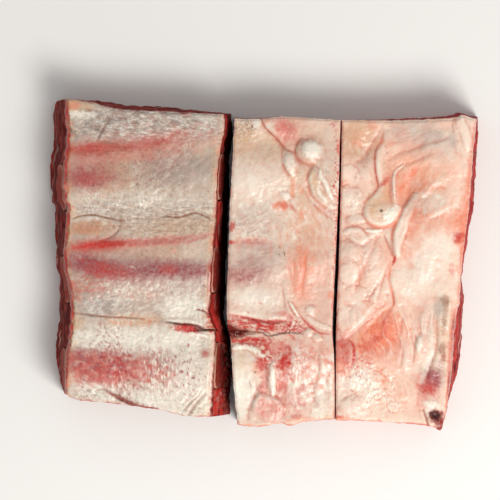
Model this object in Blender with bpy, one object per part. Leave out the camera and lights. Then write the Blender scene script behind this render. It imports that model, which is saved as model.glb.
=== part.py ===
"""Chopped veal ribs: a raw rack, inner side up, sawn across its ribs into three slabs that lie side by side.

Every length in the constants is in millimetres, and MM turns it into metres. X runs along the ribs, Y across
them and Z up. The origin is under the middle of the rack, on its flat underside.

Each slab is red meat under a pale cover of fat and membrane. Rib bones run through the left and the middle
slab, just under the cover, and end in the sawn faces. In the right slab the fat is thick and folded.
"""

import math
from dataclasses import dataclass

import bmesh
import bpy
from mathutils import Vector, noise

MM = 0.001

THICK = 31.0  # of the rack between its ribs
GAP = 0.35  # kept between two solids that touch
ROOF_GAP = 0.65  # between a bone and the cover over it, which is flatter than the bone

RIB_WIDE = 23.0
RIB_DEEP = 11.0
RIB_SHOULDER = 2.2  # from a rib's flat roof down to its widest line
RIB_ROOF_POWER = 6  # a high power keeps the roof flat
RIB_BELLY_POWER = 0.8
RIB_CORNERS = 16
RIB_STATIONS = 12
RIB_OVER_LEFT = 14.0  # how far a rib's bar runs past the slab before it is trimmed
RIB_OVER_RIGHT = 9.0
CHANNEL_OPEN = 8.0  # how far the cutter of a rib's channel rises above the meat
RIB_PROUD = 2.0  # rise of the cover over a rib
RIB_SPREAD = 9.5  # half width of that rise
RIB_LEFT_X = -99.0
RIB_RIGHT_X = 38.0
RIB_LINES = ((38.9, 48.4), (-7.7, 1.4), (-53.7, -48.7))  # y of each rib at those two x
RIB_END_X = 30.0  # where the rise over the ribs starts to fade
RIB_FADE = 35.0

EDGE_DROP = 0.8  # how far the cover rounds down at its sawn edge
EDGE_ROUND = 1.6
SIDE_ROUGH = 0.7  # unevenness of the cut sides
SIDE_GRAIN = 9.0
TOP_ROUGH = 0.5
TOP_GRAIN = 11.0
LEAN_POWER = 0.75  # a side leans out fastest near its top
FOOT_TUCK = 0.12  # share of a side's lean lost again at the foot
FOOT_HIGH = 0.06  # height of that tuck, as a share of the slab's
SIDE_STRETCH = 1.5  # the unevenness of a side is finer up and down
LEAST_LEAN = 2.0  # a side that leans less than this is only a little uneven
MOST_UNEVEN = 0.4

SIDE_LEVELS = (0.8, 0.6, 0.4, 0.2, 0.07, 0.0)  # heights of the meat's rows, as shares of its top
COARSE = 2  # steps of a cover's upper grid to one of its underside and of the meat
ROLL_STATIONS = 8
ROLL_CORNERS = 8
KNOB_SIDES = 14
KNOB_RINGS = 8
UP = Vector((0.0, 0.0, 1.0))


@dataclass(frozen=True)
class Slab:
    """One sawn piece: its edges seen from above, and how far the foot of each side leans out."""

    name: str
    back: tuple
    right: tuple
    front: tuple
    left: tuple
    lean_back: tuple  # at even steps along the edge
    lean_right: tuple
    lean_front: tuple
    lean_left: tuple
    cover: tuple  # thickness of the cover at the left and the right edge
    columns: int
    rows: int
    ribs: int


@dataclass(frozen=True)
class Swell:
    """A soft rise of the cover, or a dip where the height is negative."""

    x: float
    y: float
    long: float
    wide: float
    turn: float  # degrees from +X
    height: float


@dataclass(frozen=True)
class Roll:
    """A rolled fold of fat or cartilage that lies half sunk on the cover."""

    name: str
    path: tuple
    radius: float
    sunk: float  # depth of its middle under the cover's face


@dataclass(frozen=True)
class Knob:
    """A round head of cartilage that stands out of the cover."""

    name: str
    x: float
    y: float
    radius: float
    height: float


LEFT = Slab(
    name="left",
    back=((-98.5, 82.9), (-87.5, 81.4), (-77.5, 78.4), (-66.0, 76.9), (-52.0, 76.4), (-20.5, 75.1)),
    right=(
        (-20.5, 75.1), (-20.3, 68.9), (-23.6, 49.4), (-24.9, 24.9), (-26.5, 9.4),
        (-28.3, -18.0), (-28.6, -24.0), (-25.7, -33.5), (-26.0, -46.7), (-28.3, -76.2),
    ),
    front=((-99.0, -64.9), (-94.0, -67.6), (-76.0, -69.5), (-52.6, -72.7), (-40.0, -75.7), (-28.3, -76.2)),
    left=(
        (-98.5, 82.9), (-98.3, 71.9), (-97.5, 65.9), (-98.9, 49.9), (-98.9, 33.9), (-97.5, 27.9),
        (-99.5, 3.9), (-96.8, -10.2), (-95.5, -21.2), (-96.7, -37.7), (-98.4, -45.7), (-99.0, -64.9),
    ),
    lean_back=(1.0, 4.5, 5.0, 4.0, 2.7),
    lean_right=(2.4, 2.7, 3.2, 5.2, 5.5, 7.0),
    lean_front=(1.5, 1.0, 1.0),
    lean_left=(9.0, 11.0, 11.3, 11.2, 10.4, 8.0, 8.0, 10.5, 10.5, 8.5, 4.0),
    cover=(2.6, 3.0),
    columns=20,
    rows=40,
    ribs=3,
)

MIDDLE = Slab(
    name="middle",
    back=((-14.8, 73.0), (-2.1, 73.0), (9.0, 74.1), (22.0, 73.4), (38.4, 72.4)),
    right=(
        (38.4, 72.4), (37.5, 43.4), (37.0, 27.4), (35.0, -14.7), (34.3, -33.2),
        (34.9, -43.2), (35.4, -60.2), (35.4, -77.4),
    ),
    front=((-13.2, -80.3), (-3.1, -81.2), (8.0, -79.5), (13.5, -80.7), (20.5, -78.7), (35.4, -77.4)),
    left=(
        (-14.8, 73.0), (-16.1, 46.9), (-17.1, 28.9), (-18.1, -3.2), (-18.7, -16.7),
        (-18.2, -31.2), (-16.6, -39.2), (-15.3, -60.2), (-13.2, -80.3),
    ),
    lean_back=(2.5, 1.5, 1.0),
    lean_right=(-0.2, -0.2),
    lean_front=(0.8, 0.8),
    lean_left=(-1.0, -1.0),
    cover=(3.0, 7.0),
    columns=14,
    rows=40,
    ribs=3,
)

RIGHT = Slab(
    name="right",
    back=((39.1, 72.4), (61.5, 71.9), (79.0, 72.2), (96.2, 73.2), (99.5, 74.5), (106.0, 72.4)),
    right=(
        (106.0, 72.4), (104.0, 56.9), (102.0, 31.4), (99.3, 6.9), (97.3, -16.2), (95.0, -26.2),
        (93.2, -43.2), (92.2, -62.7), (90.6, -76.2), (88.3, -83.4),
    ),
    front=((36.0, -78.0), (54.5, -78.5), (66.0, -79.3), (75.5, -80.0), (84.0, -81.3), (88.3, -83.4)),
    left=((39.1, 72.4), (38.5, 43.4), (37.8, 12.4), (36.8, -13.7), (36.3, -28.7), (36.0, -43.2), (36.0, -78.0)),
    lean_back=(1.0, 2.5, 3.2, 3.5, 4.0),
    lean_right=(4.5, 6.0, 6.5, 6.2, 5.0, 3.5, 7.0, 9.0, 8.5, 3.5, 2.0),
    lean_front=(0.8, 0.5),
    lean_left=(-0.2, -0.2),
    cover=(8.5, 4.5),
    columns=18,
    rows=40,
    ribs=0,
)

SLABS = (LEFT, MIDDLE, RIGHT)

SWELLS = (
    Swell(-60.0, 12.0, 45.0, 5.0, 3.0, -0.8),  # hollow between the first two ribs of the left slab
    Swell(-62.0, -31.0, 45.0, 5.0, -4.0, -0.7),  # and between the last two
    Swell(31.0, 40.0, 13.0, 13.0, 0.0, 2.6),  # cartilage under the fat, cut by the second saw cut
    Swell(10.0, 60.0, 9.0, 7.0, 40.0, -1.8),
    Swell(8.0, -73.0, 9.0, 7.0, 0.0, 1.8),
    Swell(25.0, -8.0, 7.0, 16.0, 0.0, 1.2),
    Swell(58.0, 52.0, 7.0, 16.0, 100.0, -2.6),  # dished fat round the vessel at the back
    Swell(59.0, 24.0, 15.0, 15.0, 0.0, 2.0),
    Swell(86.0, 52.0, 14.0, 16.0, 0.0, 1.4),
    Swell(80.0, 12.0, 9.0, 20.0, 20.0, 1.6),
    Swell(47.0, -4.0, 8.0, 16.0, 0.0, 1.6),
    Swell(58.0, -36.0, 12.0, 11.0, 0.0, -1.6),
    Swell(50.0, -63.0, 12.0, 12.0, 0.0, 1.6),
    Swell(80.0, -34.0, 10.0, 12.0, 0.0, 1.2),
    Swell(83.0, -73.0, 7.0, 5.0, -20.0, -2.4),  # sunken dark corner
    Swell(103.0, 0.0, 90.0, 9.0, 90.0, -1.8),  # the fat falls away to the right
)

ROLLS = {
    "middle": (
        Roll("worm", ((9.5, 60.0), (10.5, 52.0), (14.0, 45.5)), 2.4, 0.9),
        Roll("rim", ((23.4, 50.0), (22.0, 43.0), (23.5, 37.0), (28.5, 31.5), (34.0, 27.5)), 2.0, 0.9),
        Roll("pleat", ((4.5, -49.0), (5.0, -57.0), (3.5, -66.0)), 2.8, 1.2),
        Roll("splinter", ((15.5, -18.0), (13.0, -25.0)), 1.8, 0.7),
    ),
    "right": (
        Roll("finger", ((75.0, 32.0), (72.5, 22.0), (70.0, 13.0), (68.0, 4.5)), 3.1, 0.9),
        Roll("strand", ((97.5, 71.5), (100.5, 65.0), (103.0, 58.0)), 2.2, 0.8),
        Roll("lobe_a", ((43.0, 9.0), (45.5, 0.0), (44.5, -9.0), (46.0, -17.0)), 2.6, 1.4),
        Roll("lobe_b", ((50.5, 8.0), (52.0, -2.0), (50.5, -12.0), (52.0, -19.0)), 2.4, 1.3),
        Roll("lobe_c", ((57.0, 5.0), (58.5, -4.0), (57.5, -14.0)), 2.3, 1.3),
        Roll("fold", ((79.0, -34.0), (78.5, -43.0)), 2.4, 1.0),
        Roll("vessel_lip", ((65.5, 47.0), (66.5, 40.0), (64.5, 34.0)), 2.0, 0.9),
    ),
}

KNOBS = {
    "middle": (Knob("button", 23.5, 57.0, 7.0, 2.6), Knob("cap", 24.5, 57.4, 3.0, 3.9)),
    "right": (Knob("head", 60.0, 27.3, 8.6, 2.4),),
}

KNIFE_CUTS = {  # mouth corners, deepest point and tip, each x, y, z
    "left": ((-17.0, -30.2, 38.0), (-17.0, -35.0, 38.0), (-17.0, -32.6, 22.0), (-45.0, -33.0, 35.0)),
    "middle": ((-24.0, -25.5, 38.0), (-24.0, -41.0, 38.0), (-24.0, -34.0, 19.0), (10.0, -34.0, 36.0)),
}

MEAT_COLOUR = (0.24, 0.025, 0.018, 1.0)
COVER_COLOURS = {
    "left": (0.58, 0.46, 0.38, 1.0),
    "middle": (0.76, 0.60, 0.50, 1.0),
    "right": (0.84, 0.64, 0.53, 1.0),
}
BONE_COLOUR = (0.50, 0.20, 0.12, 1.0)
MEAT_ROUGHNESS = 0.38
COVER_ROUGHNESS = 0.32
BONE_ROUGHNESS = 0.5


def clear_scene():
    """Remove what the scene starts with."""
    for thing in list(bpy.data.objects):
        bpy.data.objects.remove(thing, do_unlink=True)


def material(name, colour, roughness):
    """A plain finish in the piece's own colour."""
    finish = bpy.data.materials.new(name)
    finish.use_nodes = True
    shader = finish.node_tree.nodes["Principled BSDF"]
    shader.inputs["Base Color"].default_value = colour
    shader.inputs["Roughness"].default_value = roughness
    shader.inputs["Metallic"].default_value = 0.0
    finish.diffuse_color = colour
    return finish


def curve_point(points, share):
    """The point a share of the way along a smooth curve through the given points."""
    spans = [math.dist(a, b) for a, b in zip(points, points[1:])]
    left = share * sum(spans)
    at = 0
    while at < len(spans) - 1 and left > spans[at]:
        left -= spans[at]
        at += 1
    t = min(left / spans[at], 1.0)
    before = points[max(at - 1, 0)]
    start = points[at]
    end = points[at + 1]
    after = points[min(at + 2, len(points) - 1)]
    return tuple(
        0.5 * (2 * b + (c - a) * t + (2 * a - 5 * b + 4 * c - d) * t**2 + (3 * b - a - 3 * c + d) * t**3)
        for a, b, c, d in zip(before, start, end, after)
    )


def along(values, share):
    """A value a share of the way along evenly spaced ones."""
    place = share * (len(values) - 1)
    at = min(int(place), len(values) - 2)
    return values[at] + (values[at + 1] - values[at]) * (place - at)


def plan_point(slab, u, v):
    """The point of the slab seen from above, at shares u from left to right and v from back to front."""
    back = curve_point(slab.back, u)
    front = curve_point(slab.front, u)
    left = curve_point(slab.left, v)
    right = curve_point(slab.right, v)
    corners = (slab.back[0], slab.back[-1], slab.front[0], slab.front[-1])
    shares = ((1 - u) * (1 - v), u * (1 - v), (1 - u) * v, u * v)
    return tuple(
        (1 - v) * back[k]
        + v * front[k]
        + (1 - u) * left[k]
        + u * right[k]
        - sum(share * corner[k] for share, corner in zip(shares, corners))
        for k in (0, 1)
    )


def rib_middle(rib, x):
    """Where a rib's middle line lies at x."""
    share = (x - RIB_LEFT_X) / (RIB_RIGHT_X - RIB_LEFT_X)
    return RIB_LINES[rib][0] + (RIB_LINES[rib][1] - RIB_LINES[rib][0]) * share


def base_height(x, y):
    """Height of the cover's face with the rise over each rib, without its small relief."""
    fade = min(max(1.0 - (x - RIB_END_X) / RIB_FADE, 0.0), 1.0)
    rise = sum(math.exp(-(((y - rib_middle(rib, x)) / RIB_SPREAD) ** 2)) for rib in range(len(RIB_LINES)))
    return THICK + RIB_PROUD * rise * fade


def face_height(x, y, inward):
    """Height of the cover's face, inward millimetres from the nearest sawn edge."""
    height = base_height(x, y)
    for swell in SWELLS:
        turn = math.radians(swell.turn)
        dx = x - swell.x
        dy = y - swell.y
        far = (dx * math.cos(turn) + dy * math.sin(turn)) / swell.long
        side = (dy * math.cos(turn) - dx * math.sin(turn)) / swell.wide
        height += swell.height * math.exp(-(far**2) - side**2)
    height += TOP_ROUGH * noise.noise(Vector((x, y, 0.0)) / TOP_GRAIN)
    return height - EDGE_DROP * math.exp(-((inward / EDGE_ROUND) ** 2))


def cover_depth(slab, u):
    """Thickness of the cover at a share u from the slab's left to its right edge."""
    return slab.cover[0] + (slab.cover[1] - slab.cover[0]) * u


def lean(slab, u, v, level):
    """How far the side stands outside the top edge, at a height that is a share of the slab's."""
    out = max(1 - level, 0.0) ** LEAN_POWER - FOOT_TUCK * math.exp(-((level / FOOT_HIGH) ** 2))
    dx = 0.0
    dy = 0.0
    if u in (0, 1):
        values = slab.lean_right if u else slab.lean_left
        dx = along(values, v) * (1 if u else -1)
    if v in (0, 1):
        values = slab.lean_front if v else slab.lean_back
        dy = along(values, u) * (-1 if v else 1)
    return dx * out, dy * out


def roughness(x, y, z, dx, dy):
    """Unevenness of a cut side, only where it leans out enough to stay clear of its neighbour."""
    size = max(abs(dx), abs(dy), LEAST_LEAN)
    grain = noise.noise(Vector((x, y, z * SIDE_STRETCH)) / SIDE_GRAIN)
    return 1.0 + min(SIDE_ROUGH / size, MOST_UNEVEN) * grain


def side_point(slab, u, v, z):
    """A point of a cut side at height z."""
    x, y = plan_point(slab, u, v)
    dx, dy = lean(slab, u, v, z / base_height(x, y))
    uneven = roughness(x, y, z, dx, dy)
    return Vector((x + dx * uneven, y + dy * uneven, z)) * MM


def rim(columns, rows):
    """Grid places once round the edge, from the back left corner clockwise seen from above."""
    back = [(i, 0) for i in range(columns)]
    right = [(columns, j) for j in range(rows)]
    front = [(i, rows) for i in range(columns, 0, -1)]
    left = [(0, j) for j in range(rows, 0, -1)]
    return back + right + front + left


def add_grid(mesh, slab, columns, rows, height):
    """A sheet of vertices over the slab, whose height follows height(x, y, u, v), with its faces."""
    sheet = {}
    for j in range(rows + 1):
        for i in range(columns + 1):
            u = i / columns
            v = j / rows
            x, y = plan_point(slab, u, v)
            z = height(x, y, u, v)
            on_side = i in (0, columns) or j in (0, rows)
            place = side_point(slab, u, v, z) if on_side else Vector((x, y, z)) * MM
            sheet[i, j] = mesh.verts.new(place)
    for j in range(rows):
        for i in range(columns):
            mesh.faces.new([sheet[i, j], sheet[i, j + 1], sheet[i + 1, j + 1], sheet[i + 1, j]])
    return sheet


def finish_object(name, mesh, finish):
    """Turn a bmesh into an object with its faces pointing out."""
    bmesh.ops.recalc_face_normals(mesh, faces=mesh.faces)
    data = bpy.data.meshes.new(name)
    mesh.to_mesh(data)
    mesh.free()
    data.shade_smooth()
    thing = bpy.data.objects.new(name, data)
    bpy.context.scene.collection.objects.link(thing)
    if finish:
        data.materials.append(finish)
    return thing


def make_cutter(thing):
    """Mark an object as one that only cuts or joins others."""
    thing.hide_render = True
    thing.display_type = "WIRE"
    return thing


def boolean(target, tool, operation):
    """Cut, join or trim the target by the tool."""
    step = target.modifiers.new(f"{operation.lower()} {tool.name}", "BOOLEAN")
    step.operation = operation
    step.solver = "EXACT"
    step.object = tool


def inward_distance(slab, u, v):
    """Rough distance of a grid place from the slab's nearest edge."""
    wide = math.dist(slab.back[0], slab.back[-1])
    deep = math.dist(slab.left[0], slab.left[-1])
    return min(u * wide, (1 - u) * wide, v * deep, (1 - v) * deep)


def under_cover(slab, x, y, u):
    """Height of the cover's underside."""
    return base_height(x, y) - cover_depth(slab, u)


def cover_object(slab, finish):
    """The pale cover: a relief face over a plainer underside, joined round the sawn edge."""
    mesh = bmesh.new()
    upper = add_grid(
        mesh, slab, slab.columns, slab.rows,
        lambda x, y, u, v: face_height(x, y, inward_distance(slab, u, v)),
    )
    columns = slab.columns // COARSE
    rows = slab.rows // COARSE
    lower = add_grid(mesh, slab, columns, rows, lambda x, y, u, v: under_cover(slab, x, y, u))
    above = rim(slab.columns, slab.rows)
    below = rim(columns, rows)
    for at, place in enumerate(below):
        following = below[(at + 1) % len(below)]
        run = [upper[above[(at * COARSE + k) % len(above)]] for k in range(COARSE + 1)]
        mesh.faces.new(run + [lower[following], lower[place]])
    return finish_object(f"cover_{slab.name}", mesh, finish)


def meat_mesh(slab):
    """The meat before its bones are let in: a plain top, leaning cut sides and a flat underside."""
    mesh = bmesh.new()
    columns = slab.columns // COARSE
    rows = slab.rows // COARSE
    top = add_grid(mesh, slab, columns, rows, lambda x, y, u, v: under_cover(slab, x, y, u) - GAP)
    places = rim(columns, rows)
    ring = [top[place] for place in places]
    for level in SIDE_LEVELS:
        lower = [
            mesh.verts.new(side_point(slab, i / columns, j / rows, vert_height * level))
            for (i, j), vert_height in ((place, top[place].co.z / MM) for place in places)
        ]
        for at in range(len(ring)):
            after = (at + 1) % len(ring)
            mesh.faces.new([ring[at], ring[after], lower[after], lower[at]])
        ring = lower
    mesh.faces.new(ring)
    return mesh


def join_rings(mesh, rings):
    """Faces between each ring of vertices and the next."""
    for ring, following in zip(rings, rings[1:]):
        for at in range(len(ring)):
            after = (at + 1) % len(ring)
            mesh.faces.new([ring[at], ring[after], following[after], following[at]])


def rib_bar(slab, rib, grow, roof):
    """A rib as a long bar with a flat roof under the cover, grown all round by grow and raised by roof."""
    mesh = bmesh.new()
    start = min(point[0] for point in slab.left) - RIB_OVER_LEFT
    end = max(point[0] for point in slab.right) + RIB_OVER_RIGHT
    rings = []
    for station in range(RIB_STATIONS + 1):
        x = start + (end - start) * station / RIB_STATIONS
        u = min(max((x - slab.back[0][0]) / (slab.back[-1][0] - slab.back[0][0]), 0.0), 1.0)
        middle = rib_middle(rib, x)
        ring = []
        for corner in range(RIB_CORNERS):
            turn = 2 * math.pi * corner / RIB_CORNERS
            y = middle + (RIB_WIDE / 2 + grow) * math.cos(turn)
            shoulder = under_cover(slab, x, y, u) - GAP - ROOF_GAP - RIB_SHOULDER
            if corner * 2 in (0, RIB_CORNERS):
                z = shoulder
            elif corner * 2 < RIB_CORNERS:
                z = shoulder + RIB_SHOULDER * (1 - abs(math.cos(turn)) ** RIB_ROOF_POWER) + roof
            else:
                z = shoulder - (RIB_DEEP - RIB_SHOULDER + grow) * abs(math.sin(turn)) ** RIB_BELLY_POWER
            ring.append(mesh.verts.new(Vector((x, y, z)) * MM))
        rings.append(ring)
    join_rings(mesh, rings)
    mesh.faces.new(rings[0])
    mesh.faces.new(rings[-1])
    return mesh


def roll_middle(roll, share):
    """The point on a roll's middle line a share of the way along it."""
    x, y = curve_point(roll.path, share)
    return Vector((x, y, face_height(x, y, math.inf) - roll.sunk))


def roll_mesh(roll):
    """A round-ended roll that follows the cover's face along its path."""
    mesh = bmesh.new()
    rings = []
    for station in range(1, ROLL_STATIONS):
        share = station / ROLL_STATIONS
        ahead = roll_middle(roll, (station + 1) / ROLL_STATIONS)
        behind = roll_middle(roll, (station - 1) / ROLL_STATIONS)
        across = (ahead - behind).cross(UP).normalized()
        radius = roll.radius * math.sqrt(math.sin(math.pi * share))
        ring = []
        for corner in range(ROLL_CORNERS):
            turn = 2 * math.pi * corner / ROLL_CORNERS
            spoke = across * math.cos(turn) + UP * math.sin(turn)
            ring.append(mesh.verts.new((roll_middle(roll, share) + spoke * radius) * MM))
        rings.append(ring)
    join_rings(mesh, rings)
    for ring, share in ((rings[0], 0.0), (rings[-1], 1.0)):
        tip = mesh.verts.new(roll_middle(roll, share) * MM)
        for at in range(ROLL_CORNERS):
            mesh.faces.new([ring[at], ring[(at + 1) % ROLL_CORNERS], tip])
    return mesh


def knob_mesh(knob):
    """A low dome whose foot is sunk in the cover."""
    mesh = bmesh.new()
    bmesh.ops.create_uvsphere(mesh, u_segments=KNOB_SIDES, v_segments=KNOB_RINGS, radius=1.0)
    floor = base_height(knob.x, knob.y)
    for vert in mesh.verts:
        x = knob.x + vert.co.x * knob.radius
        y = knob.y + vert.co.y * knob.radius
        z = floor + vert.co.z * knob.height
        vert.co = Vector((x, y, z)) * MM
    return mesh


def knife_cut(name, corners):
    """The wedge that a knife took out of a slab's edge."""
    mesh = bmesh.new()
    near, far, deep, tip = (mesh.verts.new(Vector(corner) * MM) for corner in corners)
    for face in ((near, far, deep), (near, far, tip), (far, deep, tip), (deep, near, tip)):
        mesh.faces.new(face)
    return make_cutter(finish_object(name, mesh, None))


def build_slab(slab):
    """One slab: its meat, its cover and the bones in it."""
    meat_finish = material(f"meat {slab.name}", MEAT_COLOUR, MEAT_ROUGHNESS)
    cover_finish = material(f"cover {slab.name}", COVER_COLOURS[slab.name], COVER_ROUGHNESS)
    meat = finish_object(f"meat_{slab.name}", meat_mesh(slab), meat_finish)
    cover = cover_object(slab, cover_finish)
    whole = make_cutter(finish_object(f"whole {slab.name}", meat_mesh(slab), None))
    for rib in range(slab.ribs):
        name = f"rib_{slab.name}_{rib + 1}"
        finish = material(f"bone {slab.name} {rib + 1}", BONE_COLOUR, BONE_ROUGHNESS)
        bone = finish_object(name, rib_bar(slab, rib, 0.0, 0.0), finish)
        boolean(bone, whole, "INTERSECT")
        channel_bar = rib_bar(slab, rib, GAP, CHANNEL_OPEN)
        channel = make_cutter(finish_object(f"channel {name}", channel_bar, None))
        boolean(meat, channel, "DIFFERENCE")
    for roll in ROLLS.get(slab.name, ()):
        boolean(cover, make_cutter(finish_object(f"roll {roll.name}", roll_mesh(roll), None)), "UNION")
    for knob in KNOBS.get(slab.name, ()):
        boolean(cover, make_cutter(finish_object(f"knob {knob.name}", knob_mesh(knob), None)), "UNION")
    if slab.name in KNIFE_CUTS:
        cut = knife_cut(f"knife cut {slab.name}", KNIFE_CUTS[slab.name])
        boolean(cover, cut, "DIFFERENCE")
        boolean(meat, cut, "DIFFERENCE")


def main():
    """Build the three slabs from left to right."""
    clear_scene()
    for slab in SLABS:
        build_slab(slab)


main()
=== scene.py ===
"""Looks of the chopped veal ribs: three sawn slabs of red meat with bones, under a pale wet cover of fat.

Lengths are in millimetres until MM turns them into metres. The solids' frame has X along the ribs, Y across
them and Z up. Marks on a slab are placed by plan millimetres instead: across from the left and down from the
back, from a datum off the rack's back left corner, and a turn is clockwise in degrees from across.
"""

from __future__ import annotations

import logging
import math
from collections.abc import Callable
from dataclasses import dataclass, field
from enum import Enum

import bpy
import numpy as np
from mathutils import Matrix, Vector


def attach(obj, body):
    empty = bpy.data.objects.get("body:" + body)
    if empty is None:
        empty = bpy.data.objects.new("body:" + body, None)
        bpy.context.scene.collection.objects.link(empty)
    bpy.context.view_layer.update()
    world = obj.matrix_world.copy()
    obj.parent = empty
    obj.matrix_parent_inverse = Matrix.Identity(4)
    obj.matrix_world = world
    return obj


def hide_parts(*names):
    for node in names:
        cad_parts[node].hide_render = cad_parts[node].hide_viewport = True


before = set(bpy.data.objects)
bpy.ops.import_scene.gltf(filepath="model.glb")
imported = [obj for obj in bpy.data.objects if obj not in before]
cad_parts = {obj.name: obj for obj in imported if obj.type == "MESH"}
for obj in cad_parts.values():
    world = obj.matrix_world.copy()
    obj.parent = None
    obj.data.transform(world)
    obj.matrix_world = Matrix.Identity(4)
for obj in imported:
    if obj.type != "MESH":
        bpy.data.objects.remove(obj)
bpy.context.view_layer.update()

log = logging.getLogger("veal ribs")

Point = tuple[float, float]
Path = tuple[Point, ...]
Triple = tuple[float, float, float]
Row = tuple[float | Point, ...]
Values = dict[str | int, object]
Array = np.ndarray

MM = 0.001

DATUM = (-132.05, 132.35)  # x and y of the plan datum

THICK = 31.0  # of the rack between its ribs
GAP = 0.35  # between the cover and what lies under it
ROOF_GAP = 0.65  # from the cover down to a bone's flat roof, beyond that gap
RIB_WIDE = 23.0
RIB_DEEP = 11.0
RIB_SHOULDER = 2.2  # height of a bone's roof over its widest place
RIB_PROUD = 2.0  # rise of the cover over a bone
RIB_SPREAD = 9.5  # how far that rise spreads to each side
RIB_LEFT_X = -99.0
RIB_RIGHT_X = 38.0
RIB_LINES = ((38.9, 48.4), (-7.7, 1.4), (-53.7, -48.7))  # y of each bone's middle at those two places
RIB_END_X = 30.0  # from where the rise fades out
RIB_FADE = 35.0  # over this length

EDGE_DROP = 0.9  # how far the cover rounds down at its sawn edge
EDGE_ROUND = 1.3  # how far in from the edge it rounds
LEAN_POWER = 0.75  # a side leans out fastest near its top
FOOT_TUCK = 0.12  # share of the lean lost again at the foot
FOOT_HIGH = 0.06  # share of the height where that is

COVER_CELL = 0.44  # size of a cell of the cover's mesh
MEAT_CELL = 0.85
BED_ROUND = 0.4  # below 1 makes a bone's bed full to its sides
WALL_ROWS = 36
COARSE = 4  # cells of the cover's face to one of its underside
COVER_EDGE_ROWS = 3
SHARP_EDGE = 48.0  # degrees between two faces from which their edge stays sharp
CUT_FLOOR_GAP = 0.6  # from the cover's face to its underside at the floor of a cut
CUT_BED = 1.0  # from there down to the meat
NOTHING_ABOVE = 99.0  # height that stands for no cut and no bed
UNDERSIDE_INSET = 0.6  # of the cover's underside from its edge
EDGE_SAMPLES = 400  # along a side, to find where a bone's end meets it


@dataclass(frozen=True)
class Outline:
    """One slab seen from above, in the solids' frame, and how far the foot of each side leans out."""

    back: Path
    right: Path
    front: Path
    left: Path
    lean_back: tuple[float, ...]
    lean_right: tuple[float, ...]
    lean_front: tuple[float, ...]
    lean_left: tuple[float, ...]
    cover: tuple[float, float]  # thickness of the cover at the left and the right edge
    ragged: tuple[float, float]  # unevenness of the left and the right edge


LEFT_OUTLINE = Outline(
    back=((-98.5, 82.9), (-87.5, 81.4), (-77.5, 78.4), (-66.0, 76.9), (-52.0, 76.4), (-20.5, 75.1)),
    right=(
        (-20.5, 75.1), (-20.3, 68.9), (-23.6, 49.4), (-24.9, 24.9), (-26.5, 9.4),
        (-28.3, -18.0), (-28.6, -24.0), (-25.7, -33.5), (-26.0, -46.7), (-28.3, -76.2),
    ),
    front=((-99.0, -64.9), (-94.0, -67.6), (-76.0, -69.5), (-52.6, -72.7), (-40.0, -75.7), (-28.3, -76.2)),
    left=(
        (-98.5, 82.9), (-98.3, 71.9), (-97.5, 65.9), (-98.9, 49.9), (-98.9, 33.9), (-97.5, 27.9),
        (-99.5, 3.9), (-96.8, -10.2), (-95.5, -21.2), (-96.7, -37.7), (-98.4, -45.7), (-99.0, -64.9),
    ),
    lean_back=(1.0, 4.5, 5.0, 4.0, 2.7),
    lean_right=(4.1, 4.8, 6.5, 6.8, 7.7, 8.4, 8.8, 7.5, 8.8, 10.6, 11.8),
    lean_front=(1.5, 1.0, 1.0),
    lean_left=(9.0, 11.0, 11.3, 11.2, 10.4, 8.0, 8.0, 10.5, 10.5, 8.5, 4.0),
    cover=(2.6, 3.0),
    ragged=(0.5, 0.35),
)

MIDDLE_OUTLINE = Outline(
    back=((-14.8, 73.0), (-2.1, 73.0), (9.0, 74.1), (22.0, 73.4), (38.4, 72.4)),
    right=(
        (38.4, 72.4), (37.5, 43.4), (37.0, 27.4), (35.0, -14.7), (34.3, -33.2),
        (34.9, -43.2), (35.4, -60.2), (35.4, -77.4),
    ),
    front=((-13.2, -80.3), (-3.1, -81.2), (8.0, -79.5), (13.5, -80.7), (20.5, -78.7), (35.4, -77.4)),
    left=(
        (-14.8, 73.0), (-16.1, 46.9), (-17.1, 28.9), (-18.1, -3.2), (-18.7, -16.7),
        (-18.2, -31.2), (-16.6, -39.2), (-15.3, -60.2), (-13.2, -80.3),
    ),
    lean_back=(2.5, 1.5, 1.0),
    lean_right=(-0.2, -0.2),
    lean_front=(0.8, 0.8),
    lean_left=(0.1, 0.1),
    cover=(3.0, 7.0),
    ragged=(0.4, 0.04),
)

RIGHT_OUTLINE = Outline(
    back=((39.1, 72.4), (61.5, 71.9), (79.0, 72.2), (96.2, 73.2), (99.5, 74.5), (106.0, 72.4)),
    right=(
        (106.0, 72.4), (104.0, 56.9), (102.0, 31.4), (99.3, 6.9), (97.3, -16.2), (95.0, -26.2),
        (93.2, -43.2), (92.2, -62.7), (90.6, -76.2), (88.3, -83.4),
    ),
    front=((36.0, -78.0), (54.5, -78.5), (66.0, -79.3), (75.5, -80.0), (84.0, -81.3), (88.3, -83.4)),
    left=(
        (39.1, 72.4), (38.5, 43.4), (37.8, 12.4), (36.8, -13.7), (36.3, -28.7), (36.0, -43.2), (36.0, -78.0),
    ),
    lean_back=(1.0, 2.5, 3.2, 3.5, 4.0),
    lean_right=(4.5, 6.0, 6.5, 6.2, 5.0, 3.5, 7.0, 9.0, 8.5, 3.5, 2.0),
    lean_front=(0.8, 0.5),
    lean_left=(-0.2, -0.2),
    cover=(8.5, 4.5),
    ragged=(0.04, 0.4),
)


def smooth(amount: Array) -> Array:
    """An amount clamped to 0 to 1 and eased at both ends."""
    held = np.clip(amount, 0.0, 1.0)
    return held * held * (3.0 - 2.0 * held)


def scatter(cell_a: Array, cell_b: Array, seed: float) -> Array:
    """A repeatable number from 0 to 1 for each cell of the plane."""
    return np.modf(np.abs(np.sin(cell_a * 127.1 + cell_b * 311.7 + seed * 74.7)) * 43758.5453)[0]


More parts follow.
